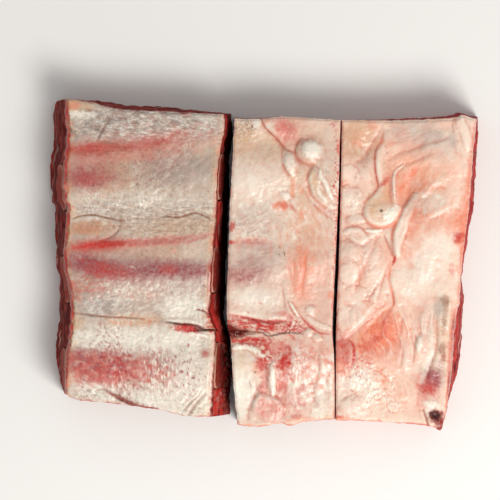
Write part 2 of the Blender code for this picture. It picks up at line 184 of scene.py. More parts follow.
def grain(a: Array, b: Array, seed: float) -> Array:
    """Smooth noise of about -1 to 1, one bump a unit.

    Args:
        a: First coordinate of each point.
        b: Second coordinate.
        seed: Picks the pattern.

    Returns:
        The noise at each point.
    """
    cell_a = np.floor(a)
    cell_b = np.floor(b)
    total = np.zeros(np.broadcast(a, b).shape)
    for step_a in (0.0, 1.0):
        for step_b in (0.0, 1.0):
            far_a = a - cell_a - step_a
            far_b = b - cell_b - step_b
            turn = 2.0 * math.pi * scatter(cell_a + step_a, cell_b + step_b, seed)
            slope = np.cos(turn) * far_a + np.sin(turn) * far_b
            total += slope * smooth(1.0 - np.abs(far_a)) * smooth(1.0 - np.abs(far_b))
    return np.clip(1.5 * total, -1.0, 1.0)


def layered(a: Array, b: Array, seed: float, layers: int = 3) -> Array:
    """Noise with finer noise on it, each layer twice as fine and half as strong."""
    return sum(grain(a * 2**k, b * 2**k, seed + 17.0 * k) / 2**k for k in range(layers))


def lumps(a: Array, b: Array, seed: float) -> tuple[Array, Array]:
    """Cells of uneven size round scattered points.

    Args:
        a: First coordinate of each point.
        b: Second coordinate.
        seed: Picks the pattern.

    Returns:
        Distance to the nearest scattered point, and how much nearer it is than the next one.
    """
    cell_a = np.floor(a)
    cell_b = np.floor(b)
    nearest = np.full(np.broadcast(a, b).shape, 9.0)
    second = nearest.copy()
    for step_a in (-1.0, 0.0, 1.0):
        for step_b in (-1.0, 0.0, 1.0):
            seat_a = cell_a + step_a + scatter(cell_a + step_a, cell_b + step_b, seed)
            seat_b = cell_b + step_b + scatter(cell_a + step_a, cell_b + step_b, seed + 5.0)
            far = np.hypot(seat_a - a, seat_b - b)
            second = np.minimum(second, np.maximum(nearest, far))
            nearest = np.minimum(nearest, far)
    return nearest, second - nearest


def curve(points: Path, share: Array) -> tuple[Array, Array]:
    """Points on a smooth curve.

    Args:
        points: What the curve passes through.
        share: How far along the curve each wanted point is, from 0 to 1.

    Returns:
        First and second coordinate of each point.
    """
    knots = np.array(points, float)
    spans = np.hypot(*np.diff(knots, axis=0).T)
    ends = np.concatenate(([0.0], np.cumsum(spans)))
    length = np.asarray(share, float) * ends[-1]
    at = np.clip(np.searchsorted(ends, length, side="right") - 1, 0, len(spans) - 1)
    t = np.clip((length - ends[at]) / spans[at], 0.0, 1.0)[..., None]
    before = knots[np.maximum(at - 1, 0)]
    start = knots[at]
    end = knots[at + 1]
    after = knots[np.minimum(at + 2, len(knots) - 1)]
    bend = 2 * before - 5 * start + 4 * end - after
    twist = 3 * start - before - 3 * end + after
    place = 0.5 * (2 * start + (end - before) * t + bend * t**2 + twist * t**3)
    return place[..., 0], place[..., 1]


def along(values: tuple[float, ...], share: Array) -> Array:
    """Values a share of the way along evenly spaced ones."""
    return np.interp(share, np.linspace(0.0, 1.0, len(values)), values)


def rib_middle(rib: int, x: Array) -> Array:
    """Where a rib's middle line lies at x."""
    share = (x - RIB_LEFT_X) / (RIB_RIGHT_X - RIB_LEFT_X)
    return RIB_LINES[rib][0] + (RIB_LINES[rib][1] - RIB_LINES[rib][0]) * share


def base_height(x: Array, y: Array) -> Array:
    """Height of the cover's face with the rise over each rib, without its relief."""
    fade = np.clip(1.0 - (x - RIB_END_X) / RIB_FADE, 0.0, 1.0)
    rise = sum(np.exp(-(((y - rib_middle(rib, x)) / RIB_SPREAD) ** 2)) for rib in range(len(RIB_LINES)))
    return THICK + RIB_PROUD * rise * fade


class Pigment(Enum):
    """Every tint that the flesh, the fat and the bone take over their own colour, as sRGB. Most are stains;
    the crevice tint is juice together with painted shade in creases and hollows, and the dark one is partly
    painted shade in holes, slits, cuts and gaps.
    """

    BLOOD = (200, 50, 42)
    ROSE = (222, 112, 100)
    ORANGE = (240, 138, 104)
    BRUISE = (156, 68, 76)
    GREY = (168, 162, 156)
    SLATE = (112, 100, 98)
    CREAM = (250, 242, 226)
    BROWN = (146, 92, 66)
    YELLOW = (218, 176, 132)
    MEAT = (150, 40, 34)
    DARK = (62, 16, 15)
    # Juice in creases, hollows and valleys, together with the painted shade that falls there.
    CREVICE = (206, 118, 96)

    @property
    def layer(self) -> str:
        """Name of the vertex layer that holds how much of it there is."""
        return f"pigment_{self.name.lower()}"


BLOOD, ROSE, ORANGE, BRUISE, GREY, SLATE, CREAM, BROWN, YELLOW, MEAT, DARK, CREVICE = Pigment


HOLLOWS = ((2, 0.16, 1.0), (6, 0.55, 0.7))  # cells across, depth that is tinted fully, and share of the tint of juice and painted shade
CREST_PALE = 0.35  # how much paler a crest turns, partly drying fat and partly painted light, beside what a hollow takes


class Sheet:
    """A surface while it is worked on: where its points lie, how far they stand out and their stains."""

    def __init__(self, across: Array, down: Array) -> None:
        """Lay the sheet flat and clean.

        Args:
            across: First coordinate of each point of the grid.
            down: Second coordinate of each point.
        """
        self.grid = across.shape
        self.across = across.ravel()
        self.down = down.ravel()
        self.rise = np.zeros(across.size)
        self.stains: dict[Pigment, Array] = {}

    def near(self, points: Path, reach: float) -> Array:
        """Find the grid points near some places.

        Args:
            points: The places.
            reach: How far outside the box round them a point still counts.

        Returns:
            The numbers of the points.
        """
        low_a = min(point[0] for point in points) - reach
        high_a = max(point[0] for point in points) + reach
        low_b = min(point[1] for point in points) - reach
        high_b = max(point[1] for point in points) + reach
        beside = (self.across > low_a) & (self.across < high_a)
        return np.nonzero(beside & (self.down > low_b) & (self.down < high_b))[0]

    def tint(self, pigment: Pigment, picked: Array, amount: Array) -> None:
        """Add a pigment on the picked points, over what is there already."""
        layer = self.stains.setdefault(pigment, np.zeros(self.across.size))
        layer[picked] = 1.0 - (1.0 - layer[picked]) * (1.0 - np.clip(amount, 0.0, 1.0))

    def blurred(self, values: Array, cells: int) -> Array:
        """Average values over the places round each one.

        Args:
            values: One value for each grid point.
            cells: How many cells each way are taken in.

        Returns:
            The averages.
        """
        block = values.reshape(self.grid)
        for axis in (0, 1):
            padded = np.pad(block, [(cells + 1, cells) if k == axis else (0, 0) for k in (0, 1)], mode="edge")
            total = np.cumsum(padded, axis=axis)
            span = 2 * cells + 1
            upper = np.take(total, np.arange(span, total.shape[axis]), axis=axis)
            lower = np.take(total, np.arange(0, total.shape[axis] - span), axis=axis)
            block = (upper - lower) / span
        return block.ravel()

    def settle(self, strength: float) -> None:
        """Tint the hollows with juice and painted shade, and turn the crests pale, partly as drying fat and
        partly as painted light.

        Args:
            strength: How strong the juice and painted shade are where a hollow is deep.
        """
        everywhere = np.arange(self.across.size)
        for cells, depth, share in HOLLOWS:
            hollow = (self.blurred(self.rise, cells) - self.rise) / depth
            self.tint(CREVICE, everywhere, strength * share * smooth(hollow))
            self.tint(CREAM, everywhere, CREST_PALE * strength * share * smooth(-hollow - 0.25))


@dataclass(frozen=True)
class Spot:
    """An oval part of a sheet with a soft, uneven edge."""

    at: Point
    size: tuple[float, float]  # half its length and half its width
    turn: float = 0.0
    ragged: float = 0.35
    soft: float = 0.45

    def reach(self, sheet: Sheet) -> tuple[Array, Array, Array, Array]:
        """Find what the spot covers.

        Args:
            sheet: The surface under work.

        Returns:
            The points picked, their distance along and to the side of the spot's middle, and how far each
            is from the middle, as a share of the spot's size.
        """
        picked = sheet.near((self.at,), (1.0 + self.soft + self.ragged) * max(self.size))
        across = sheet.across[picked] - self.at[0]
        down = sheet.down[picked] - self.at[1]
        turn = math.radians(self.turn)
        ahead = across * math.cos(turn) + down * math.sin(turn)
        side = down * math.cos(turn) - across * math.sin(turn)
        scale = max(0.55 * min(self.size), 1.0)
        seed = self.at[0] * 3.1 + self.at[1] * 1.7
        uneven = np.clip(layered(sheet.across[picked] / scale, sheet.down[picked] / scale, seed), -1.0, 1.0)
        far = np.hypot(ahead / self.size[0], side / self.size[1]) + self.ragged * uneven
        return picked, ahead, side, far

    def amount(self, far: Array) -> Array:
        """How much the spot counts at a distance, from 1 in its middle to 0 outside."""
        return smooth((1.0 + self.soft - far) / (2.0 * self.soft))


@dataclass(frozen=True)
class Stain(Spot):
    """A stain of one pigment."""

    pigment: Pigment = ROSE
    strength: float = 0.5

    def apply(self, sheet: Sheet) -> None:
        """Stain the sheet.

        Args:
            sheet: The surface under work.
        """
        picked, _, _, far = self.reach(sheet)
        sheet.tint(self.pigment, picked, self.strength * self.amount(far))


@dataclass(frozen=True)
class Swell(Spot):
    """A soft rise, or a dip where the height is negative."""

    high: float = 1.0

    def apply(self, sheet: Sheet) -> None:
        """Raise the sheet.

        Args:
            sheet: The surface under work.
        """
        picked, _, _, far = self.reach(sheet)
        sheet.rise[picked] += self.high * np.exp(-(np.maximum(far, 0.0) ** 2) * 1.6)


@dataclass(frozen=True)
class Lobe(Spot):
    """A rounded lobe with a fine crease round it that comes and goes."""

    high: float = 1.0
    groove: float = 0.35
    pigment: Pigment = CREAM
    strength: float = 0.0  # how pale its crown is
    fine: float = 0.5  # width of the crease

    def apply(self, sheet: Sheet) -> None:
        """Raise the lobe, crease its edge and tint its crown.

        Args:
            sheet: The surface under work.
        """
        picked, ahead, side, far = self.reach(sheet)
        far = np.maximum(far, 0.0)
        sheet.rise[picked] += self.high * np.exp(-0.75 * far**3.4)
        off = (far - 1.16) * min(self.size)
        turn = np.arctan2(side, ahead)
        shown = smooth(0.55 + 0.9 * grain(1.7 * np.cos(turn) + 9.0, 1.7 * np.sin(turn) + 9.0, self.at[0]))
        line = np.exp(-((off / self.fine) ** 2)) * shown
        soft = np.exp(-((off / (3.2 * self.fine)) ** 2)) * shown
        sheet.rise[picked] -= self.groove * line
        sheet.tint(self.pigment, picked, self.strength * smooth(1.35 - far))
        # Juice and painted shade in the crease round the lobe, a fine line with a soft edge.
        sheet.tint(CREVICE, picked, min(1.3 * self.groove, 0.85) * line + 0.35 * self.groove * soft)


@dataclass(frozen=True)
class Drape(Spot):
    """Soft folds that run one way."""

    spacing: float = 4.0
    high: float = 0.5
    stretch: float = 4.0
    sharp: float = 1.4
    pigment: Pigment = CREAM
    strength: float = 0.0
    hollow_tint: float = 0.0  # juice and painted shade in the valleys
    valley: Pigment = CREVICE

    def apply(self, sheet: Sheet) -> None:
        """Fold the sheet, whiten the crests and tint the valleys, by default with juice and painted shade.

        Args:
            sheet: The surface under work.
        """
        picked, ahead, side, far = self.reach(sheet)
        seed = self.at[0] + 2.0 * self.at[1]
        slow = 3.0 * self.spacing
        bend = 0.9 * self.spacing * grain(ahead / slow, side / slow, seed + 3.0)
        lane = (side + bend) / self.spacing
        run = ahead / (self.spacing * self.stretch)
        crest = (1.0 - np.abs(grain(lane, run, seed))) ** (2.2 * self.sharp)
        crest = 0.75 * crest + 0.25 * (1.0 - np.abs(grain(2.3 * lane, 2.0 * run, seed + 8.0))) ** 3
        amount = self.amount(far)
        sheet.rise[picked] += self.high * (crest - 0.5) * amount
        sheet.tint(self.pigment, picked, self.strength * smooth(1.6 * crest - 0.6) * amount)
        sheet.tint(self.valley, picked, self.hollow_tint * smooth(0.55 - 1.3 * crest) * amount)


@dataclass(frozen=True)
class Crumble(Spot):
    """Fat broken into small lumps with stained cracks between them."""

    cell: float = 1.6
    high: float = 0.7
    pigment: Pigment = ORANGE
    strength: float = 0.5
    crown: float = 0.4  # how pale the lumps are

    def apply(self, sheet: Sheet) -> None:
        """Break the sheet up.

        Args:
            sheet: The surface under work.
        """
        picked, ahead, side, far = self.reach(sheet)
        seed = self.at[0] * 1.3 + self.at[1]
        along_a = ahead / self.cell
        along_b = side / self.cell
        warp_a = 0.7 * layered(along_a / 1.4, along_b / 1.4, seed + 2.0, 2)
        warp_b = 0.7 * layered(along_a / 1.4, along_b / 1.4, seed + 3.0, 2)
        nearest, lead = lumps(along_a + warp_a, along_b + warp_b, seed)
        patch = smooth(0.55 + 0.9 * grain(along_a / 1.9, along_b / 1.9, seed + 4.0))
        amount = self.amount(far)
        crack = np.exp(-((lead / 0.2) ** 2)) * patch
        body = np.clip(1.0 - nearest**2, 0.0, 1.0) * (0.4 + 0.6 * patch)
        sheet.rise[picked] += amount * self.high * (0.8 * body - 0.6 * crack)
        sheet.tint(self.pigment, picked, amount * self.strength * crack)
        sheet.tint(CREAM, picked, amount * self.crown * smooth(1.4 * body - 0.4))


@dataclass(frozen=True)
class Mottle(Spot):
    """Uneven patches of one pigment."""

    cell: float = 3.0  # size of a patch
    stretch: float = 1.0  # how much longer than wide it is
    level: float = 0.0  # noise from which a patch shows, between -1 and 1
    pigment: Pigment = ROSE
    strength: float = 0.5

    def apply(self, sheet: Sheet) -> None:
        """Stain the patches.

        Args:
            sheet: The surface under work.
        """
        picked, ahead, side, far = self.reach(sheet)
        seed = self.at[0] * 0.7 + self.at[1] * 2.3 + self.pigment.value[0]
        shown = layered(ahead / (self.cell * self.stretch), side / self.cell, seed)
        patch = smooth((shown - self.level) / 0.45) * self.amount(far)
        sheet.tint(self.pigment, picked, self.strength * patch)


@dataclass(frozen=True)
class Line:
    """A smooth path over a sheet."""

    path: Path
    wide: float = 1.0
    ragged: float = 0.3
    blunt: float = 0.35  # how fast it reaches its full width from its ends

    def measure(self, sheet: Sheet, reach: float) -> tuple[Array, Array, Array]:
        """Find how far points near the path are from it.

        Args:
            sheet: The surface under work.
            reach: How far from the path the mark shows.

        Returns:
            The points picked, their distance from the path, positive to the right of it, and the path's own
            fullness there, from 0 at its ends to 1.
        """
        picked = sheet.near(self.path, reach)
        a = sheet.across[picked]
        b = sheet.down[picked]
        track_a, track_b = curve(self.path, np.linspace(0.0, 1.0, 6 * (len(self.path) - 1) + 1))
        nearest = np.full(a.shape, 99.0)
        share = np.zeros(a.shape)
        to_right = np.zeros(a.shape, bool)
        steps = len(track_a) - 1
        for k in range(steps):
            step_a = track_a[k + 1] - track_a[k]
            step_b = track_b[k + 1] - track_b[k]
            square = max(step_a**2 + step_b**2, 1e-9)
            t = np.clip(((a - track_a[k]) * step_a + (b - track_b[k]) * step_b) / square, 0.0, 1.0)
            off_a = a - track_a[k] - t * step_a
            off_b = b - track_b[k] - t * step_b
            far = np.hypot(off_a, off_b)
            closer = far < nearest
            nearest = np.where(closer, far, nearest)
            share = np.where(closer, (k + t) / steps, share)
            to_right = np.where(closer, step_a * off_b > step_b * off_a, to_right)
        seed = self.path[0][0] * 1.9 + self.path[0][1]
        scale = max(1.2 * self.wide, 1.3)
        uneven = 1.0 + self.ragged * layered(a / scale, b / scale, seed, 2)
        fullness = np.clip(4.0 * share * (1.0 - share), 0.0, 1.0) ** self.blunt
        return picked, np.where(to_right, nearest, -nearest) * uneven, fullness


@dataclass(frozen=True)
class Streak(Line):
    """A stained line."""

    pigment: Pigment = ROSE
    strength: float = 0.5

    def apply(self, sheet: Sheet) -> None:
        """Stain the sheet along the line.

        Args:
            sheet: The surface under work.
        """
        picked, off, fullness = self.measure(sheet, 2.5 * self.wide)
        far = np.abs(off) / (self.wide * np.maximum(fullness, 0.3))
        sheet.tint(self.pigment, picked, self.strength * fullness * smooth(1.5 - far))


@dataclass(frozen=True)
class Crease(Line):
    """A furrow with a fine tinted line in its bottom and a soft edge of painted shade."""

    deep: float = 0.6
    lip: float = 0.35  # how far its edges stand up beside its depth
    pigment: Pigment = CREVICE
    strength: float = 0.35

    def apply(self, sheet: Sheet) -> None:
        """Press the furrow in and tint its bottom: a fine line, by default juice with painted shade, and a
        soft painted shade round it.

        Args:
            sheet: The surface under work.
        """
        picked, off, fullness = self.measure(sheet, 3.6 * self.wide)
        far = np.abs(off) / self.wide
        furrow = 0.6 * np.exp(-(far**2)) + 0.4 * np.exp(-((far / 0.5) ** 2))
        lips = np.exp(-(((far - 2.0) / 0.9) ** 2))
        sheet.rise[picked] += fullness * self.deep * (self.lip * lips - furrow)
        line = np.exp(-((far / 0.5) ** 2))
        soft = np.exp(-((far / 1.5) ** 2))
        sheet.tint(self.pigment, picked, fullness * self.strength * np.minimum(1.3 * line + 0.3 * soft, 1.0))


@dataclass(frozen=True)
class Lap(Line):
    """A fold that laps over what lies to the left of its path, and falls away gently to the right."""

    high: float = 0.9
    fall: float = 6.0  # how far back the fold is level again
    pigment: Pigment = CREVICE
    strength: float = 0.6
    crown: float = 0.2  # how pale its lip is, partly the fat's own pallor and partly a painted highlight

    def apply(self, sheet: Sheet) -> None:
        """Raise the fold, press its crease in, tint the crease with juice and painted shade, and whiten the
        lip, partly as a painted highlight.

        Args:
            sheet: The surface under work.
        """
        picked, off, fullness = self.measure(sheet, 2.6 * self.fall)
        over = np.maximum(off, 0.0)
        under = np.maximum(-off, 0.0)
        lip = 1.0 - np.exp(-((over / 1.1) ** 2))
        back = np.exp(-((over / self.fall) ** 2))
        dip = np.exp(-((under / 1.6) ** 2))
        proud = np.where(off > 0, lip * back, -0.3 * dip)
        sheet.rise[picked] += fullness * self.high * proud
        line = np.exp(-((off / self.wide) ** 2))
        soft = np.exp(-((under / 1.5) ** 2)) * np.exp(-((over / 0.7) ** 2))
        sheet.tint(self.pigment, picked, fullness * self.strength * np.minimum(line + 0.35 * soft, 1.0))
        # Painted highlight along the lip of the fold.
        shine = np.exp(-(((off - 1.6) / 1.2) ** 2))
        sheet.tint(CREAM, picked, fullness * self.crown * shine)


@dataclass(frozen=True)
class Fold(Line):
    """A rounded ridge, such as a roll of fat, with a fine crease along each side."""

    high: float = 1.0
    groove: float = 0.25
    pigment: Pigment = CREAM
    strength: float = 0.0

    def apply(self, sheet: Sheet) -> None:
        """Raise the ridge, crease its sides and tint its crown.

        Args:
            sheet: The surface under work.
        """
        picked, off, fullness = self.measure(sheet, 3.0 * self.wide + 1.0)
        wide = np.abs(off) / (self.wide * np.maximum(fullness, 0.25))
        sheet.rise[picked] += self.high * fullness * np.exp(-0.8 * wide**3)
        edge = np.abs(off) - 1.12 * self.wide * np.maximum(fullness, 0.25)
        line = np.exp(-((edge / 0.5) ** 2)) * fullness
        soft = np.exp(-((edge / 1.4) ** 2)) * fullness
        sheet.rise[picked] -= self.groove * line
        sheet.tint(self.pigment, picked, self.strength * smooth(1.3 - wide))
        # Juice and painted shade in the creases along its sides.
        sheet.tint(CREVICE, picked, self.groove * (1.2 * line + 0.4 * soft))


Mark = Stain | Swell | Lobe | Drape | Crumble | Mottle | Streak | Crease | Lap | Fold


@dataclass(frozen=True)
class KnifeCut:
    """A cut that runs in from a slab's edge and rises to the face at its tip."""

    mouth: tuple[Point, Point]  # x and y of its two corners
    floor: float  # height of its bottom at the mouth
    tip: tuple[float, float, float]
    crown: float = 38.0  # height that its flanks reach at the mouth
    steep: float = 1.3
    wander: float = 0.9  # how far its middle strays to the side
    ragged: float = 0.16  # unevenness of its flanks

    def height(self, x: Array, y: Array) -> Array:
        """Shape the cut's flanks.

        Args:
            x: X of each point.
            y: Y of each point.

        Returns:
            Height of the flanks there, or NOTHING_ABOVE outside the cut.
        """
        start_x = self.mouth[0][0]
        share = np.clip((x - start_x) / (self.tip[0] - start_x), -0.2, 1.0)
        middle_y = (self.mouth[0][1] + self.mouth[1][1]) / 2.0
        half = abs(self.mouth[0][1] - self.mouth[1][1]) / 2.0 * (1.0 - share)
        wander = self.wander * grain(x / 5.0, np.zeros_like(y), 3.0) * smooth(share * 6.0)
        off = np.abs(y - middle_y - (self.tip[1] - middle_y) * share - wander)
        bottom = self.floor + (self.tip[2] - self.floor) * share
        uneven = 1.0 + self.ragged * layered(x / 1.7, y / 1.7, 9.0)
        side = np.clip(off / np.maximum(half, 0.05) * uneven, 0.0, 3.0)
        flank = bottom + (self.crown - bottom) * side**self.steep
        return np.where((side < 1.0) & (share < 1.0), flank, NOTHING_ABOVE)


MIX_FROM, MIX_TO, MIX_RESULT = 6, 7, 2  # numbers of a colour mix's sockets


def linear(colour: tuple[int, int, int]) -> tuple[float, float, float, float]:
    """An sRGB colour of 0 to 255 as the renderer's linear one."""
    shares = (part / 255.0 for part in colour)
    red, green, blue = (s / 12.92 if s <= 0.04045 else ((s + 0.055) / 1.055) ** 2.4 for s in shares)
    return red, green, blue, 1.0


@dataclass
class NodeBench:
    """A node tree with short ways to add, set and wire its nodes."""

    tree: bpy.types.NodeTree

    def add(self, kind: str, inputs: Values | None = None, **settings: object) -> bpy.types.Node:
        """Add a node.

        Args:
            kind: Blender's name for it.
            inputs: Values for its sockets, or sockets to wire into them, by name or number.
            settings: Values for its own properties.

        Returns:
            The node.
        """
        node = self.tree.nodes.new(kind)
        for name, value in settings.items():
            setattr(node, name, value)
        for socket, value in (inputs or {}).items():
            if isinstance(value, bpy.types.NodeSocket):
                self.tree.links.new(value, node.inputs[socket])
            else:
                node.inputs[socket].default_value = value
        return node

    def maths(self, kind: str, first: object, second: object, clamp: bool = False) -> bpy.types.NodeSocket:
        """The result of a sum of two values or sockets."""
        return self.add("ShaderNodeMath", {0: first, 1: second}, operation=kind, use_clamp=clamp).outputs[0]

    def noise(self, scale: object, detail: float, stretch: Triple = (1.0, 1.0, 1.0)) -> bpy.types.NodeSocket:
        """Add noise that is fixed to the piece.

        Args:
            scale: Bumps a metre.
            detail: How many finer layers it has.
            stretch: How much tighter it is along each axis.

        Returns:
            The socket of its value.
        """
        place = self.add("ShaderNodeTexCoord").outputs["Object"]
        spread = self.add("ShaderNodeMapping", {"Vector": place, "Scale": stretch}).outputs["Vector"]
        found = {"Vector": spread, "Scale": scale, "Detail": detail, "Roughness": 0.55}
        return self.add("ShaderNodeTexNoise", found).outputs["Fac"]


def new_group(name: str, inputs: dict[str, str], outputs: dict[str, str]) -> tuple[NodeBench, dict, dict]:
    """Start a shader node group.

    Args:
        name: Name of the group.
        inputs: Kind of each input socket by name.
        outputs: Kind of each output socket by name.

    Returns:
        Its bench, its input sockets and the sockets that its outputs are wired into.
    """
    tree = bpy.data.node_groups.new(name, "ShaderNodeTree")
    for title, kind in inputs.items():
        tree.interface.new_socket(name=title, in_out="INPUT", socket_type=kind)
    for title, kind in outputs.items():
        tree.interface.new_socket(name=title, in_out="OUTPUT", socket_type=kind)
    bench = NodeBench(tree)
    given = bench.add("NodeGroupInput")
    wanted = bench.add("NodeGroupOutput")
    given_sockets = {title: given.outputs[title] for title in inputs}
    return bench, given_sockets, {title: wanted.inputs[title] for title in outputs}


def pigment_group() -> bpy.types.NodeTree:
    """Make the shared layer that lays one pigment over a colour, broken up as a stain soaks in unevenly.

    Returns:
        The node group.
    """
    kinds = {
        "Under": "NodeSocketColor", "Pigment": "NodeSocketColor", "Mask": "NodeSocketFloat",
        "Breakup": "NodeSocketFloat", "Scale": "NodeSocketFloat",
    }
    bench, given, wanted = new_group("pigment layer", kinds, {"Colour": "NodeSocketColor"})
    uneven = bench.maths("SUBTRACT", bench.noise(given["Scale"], 3.0), 0.5)
    gain = bench.maths("ADD", bench.maths("MULTIPLY", uneven, given["Breakup"]), 1.0)
    mask = bench.maths("MULTIPLY", gain, given["Mask"], clamp=True)
    parts = {"Factor": mask, MIX_FROM: given["Under"], MIX_TO: given["Pigment"]}
    mixed = bench.add("ShaderNodeMix", parts, data_type="RGBA")
    bench.tree.links.new(mixed.outputs[MIX_RESULT], wanted["Colour"])
    return bench.tree


def drift_group() -> bpy.types.NodeTree:
    """Make the shared slow drift of a colour towards a second tone, with fine flecks of a lighter one.

    Returns:
        The node group.
    """
    kinds = {
        "Colour": "NodeSocketColor", "Second": "NodeSocketColor", "Amount": "NodeSocketFloat",
        "Scale": "NodeSocketFloat", "Fleck": "NodeSocketFloat",
    }
    bench, given, wanted = new_group("tone drift", kinds, {"Colour": "NodeSocketColor"})
    slow = bench.noise(given["Scale"], 4.0)
    spread = bench.add("ShaderNodeMapRange", {"Value": slow, "From Min": 0.36, "From Max": 0.64}).outputs[0]
    share = bench.maths("MULTIPLY", spread, given["Amount"], clamp=True)
    parts = {"Factor": share, MIX_FROM: given["Colour"], MIX_TO: given["Second"]}
    toned = bench.add("ShaderNodeMix", parts, data_type="RGBA")
    fine = bench.noise(bench.maths("MULTIPLY", given["Scale"], 9.0), 2.0)
    fleck = bench.maths("MULTIPLY", bench.maths("SUBTRACT", fine, 0.5), given["Fleck"])
    bright = bench.maths("ADD", fleck, 1.0)
    whole = {0: toned.outputs[MIX_RESULT], "Scale": bright}
    final = bench.add("ShaderNodeVectorMath", whole, operation="SCALE")
    bench.tree.links.new(final.outputs["Vector"], wanted["Colour"])
    return bench.tree


def grain_group() -> bpy.types.NodeTree:
    """Make the shared fine grain of wet flesh: fibres or pores as a height, and how dry each place is.

    Returns:
        The node group.
    """
    kinds = {"Scale": "NodeSocketFloat", "Fibre": "NodeSocketFloat", "Pores": "NodeSocketFloat"}
    results = {"Height": "NodeSocketFloat", "Dry": "NodeSocketFloat"}
    bench, given, wanted = new_group("wet grain", kinds, results)
    soft = bench.noise(given["Scale"], 4.0)
    strands = bench.noise(given["Scale"], 2.0, (0.35, 0.35, 2.6))
    place = bench.add("ShaderNodeTexCoord").outputs["Object"]
    tight = bench.maths("MULTIPLY", given["Scale"], 1.4)
    cells = bench.add("ShaderNodeTexVoronoi", {"Vector": place, "Scale": tight})
    pores = bench.maths("MULTIPLY", cells.outputs["Distance"], given["Pores"])
    fibres = bench.maths("MULTIPLY", strands, given["Fibre"])
    height = bench.maths("ADD", bench.maths("ADD", soft, fibres), pores)
    bench.tree.links.new(height, wanted["Height"])
    patchy = bench.noise(bench.maths("MULTIPLY", given["Scale"], 0.16), 3.0)
    dry = bench.add("ShaderNodeMapRange", {"Value": patchy, "From Min": 0.35, "From Max": 0.68})
    bench.tree.links.new(dry.outputs[0], wanted["Dry"])
    return bench.tree


# The pigments from the lowest layer to the highest.
LAYER_ORDER = (YELLOW, GREY, ROSE, CREVICE, ORANGE, CREAM, SLATE, BROWN, BRUISE, BLOOD, MEAT, DARK)


@dataclass(frozen=True)
class WetFinish:
    """A moist organic surface in a drifting tone, with its pigments laid over it."""

    colour: tuple[int, int, int]
    second: tuple[int, int, int]
    drift: float = 0.6
    drift_scale: float = 70.0  # bumps a metre
    fleck: float = 0.16
    breakup: float = 1.1
    breakup_scale: float = 700.0
    grain_scale: float = 1100.0
    fibre: float = 0.0
    pores: float = 0.0
    grain_high: float = 0.00012  # metres
    wet: float = 0.25  # roughness where it is wettest
    dry: float = 0.46
    coat: float = 0.22
    coat_roughness: float = 0.2
    depth: float = 0.14  # how much light goes through
    reach: float = 0.0022  # how far it goes, in metres
    bleed: Triple = (1.0, 0.42, 0.28)  # share of that for red, green and blue
    shine: float = 0.5  # specular level
    ior: float = 1.4

    def material(self, name: str, piece: bpy.types.Object) -> bpy.types.Material:
        """Make the finish for a piece, with a layer for each pigment that the piece holds.

        Args:
            name: What to call the material.
            piece: The piece, whose vertex layers hold its stains.

        Returns:
            The material.
        """
        made = bpy.data.materials.new(name)
        made.use_nodes = True
        bench = NodeBench(made.node_tree)
        shader = made.node_tree.nodes["Principled BSDF"]
        drift = bench.add("ShaderNodeGroup", node_tree=shared_group("tone drift", drift_group))
        for title, value in (
            ("Colour", linear(self.colour)), ("Second", linear(self.second)), ("Amount", self.drift),
            ("Scale", self.drift_scale), ("Fleck", self.fleck),
        ):
            drift.inputs[title].default_value = value
        colour = drift.outputs["Colour"]
        for pigment in LAYER_ORDER:
            if pigment.layer not in piece.data.attributes:
                continue
            mask = bench.add("ShaderNodeAttribute", attribute_name=pigment.layer).outputs["Fac"]
            layer = bench.add("ShaderNodeGroup", node_tree=shared_group("pigment layer", pigment_group))
            layer.inputs["Pigment"].default_value = linear(pigment.value)
            layer.inputs["Breakup"].default_value = self.breakup
            layer.inputs["Scale"].default_value = self.breakup_scale
            made.node_tree.links.new(mask, layer.inputs["Mask"])
            made.node_tree.links.new(colour, layer.inputs["Under"])
            colour = layer.outputs["Colour"]
        grained = bench.add("ShaderNodeGroup", node_tree=shared_group("wet grain", grain_group))
        for title, value in (("Scale", self.grain_scale), ("Fibre", self.fibre), ("Pores", self.pores)):
            grained.inputs[title].default_value = value
        sheen = bench.add(
            "ShaderNodeMapRange", {"Value": grained.outputs["Dry"], "To Min": self.wet, "To Max": self.dry}
        )
        bump = bench.add("ShaderNodeBump", {"Height": grained.outputs["Height"], "Distance": self.grain_high})
        made.node_tree.links.new(colour, shader.inputs["Base Color"])
        made.node_tree.links.new(sheen.outputs[0], shader.inputs["Roughness"])
        made.node_tree.links.new(bump.outputs["Normal"], shader.inputs["Normal"])
        shader.inputs["IOR"].default_value = self.ior
        shader.inputs["Specular IOR Level"].default_value = self.shine
        shader.inputs["Coat Weight"].default_value = self.coat
        shader.inputs["Coat Roughness"].default_value = self.coat_roughness
        shader.inputs["Subsurface Weight"].default_value = self.depth
        shader.inputs["Subsurface Radius"].default_value = self.bleed
        shader.inputs["Subsurface Scale"].default_value = self.reach
        return made


def shared_group(name: str, make: Callable[[], bpy.types.NodeTree]) -> bpy.types.NodeTree:
    """A shared node group, made when it is first asked for."""
    return bpy.data.node_groups.get(name) or make()


@dataclass(frozen=True)
class FatFinish(WetFinish):
    """Pale fat or membrane."""


@dataclass(frozen=True)
class MeatFinish(WetFinish):
    """Red muscle, sawn across."""

    fibre: float = 0.9
    grain_scale: float = 900.0
    grain_high: float = 0.00022
    drift_scale: float = 120.0
    fleck: float = 0.35
    wet: float = 0.42
    dry: float = 0.7
    coat: float = 0.0
    depth: float = 0.05
    shine: float = 0.05


@dataclass(frozen=True)
class BoneFinish(WetFinish):
    """Bone with porous marrow in its sawn ends."""

    pores: float = 0.7
    grain_high: float = 0.00018
    coat: float = 0.0
    wet: float = 0.4
    dry: float = 0.65
    depth: float = 0.06
    shine: float = 0.08


def rim(columns: int, rows: int) -> list[tuple[int, int]]:
    """List the places once round a grid's edge, from the back left corner.

    Args:
        columns: Cells from left to right.
        rows: Cells from back to front.

    Returns:
        Column and row of each place.
    """
    back = [(i, 0) for i in range(columns)]
    right = [(columns, j) for j in range(rows)]
    front = [(i, rows) for i in range(columns, 0, -1)]
    left = [(0, j) for j in range(rows, 0, -1)]
    return back + right + front + left


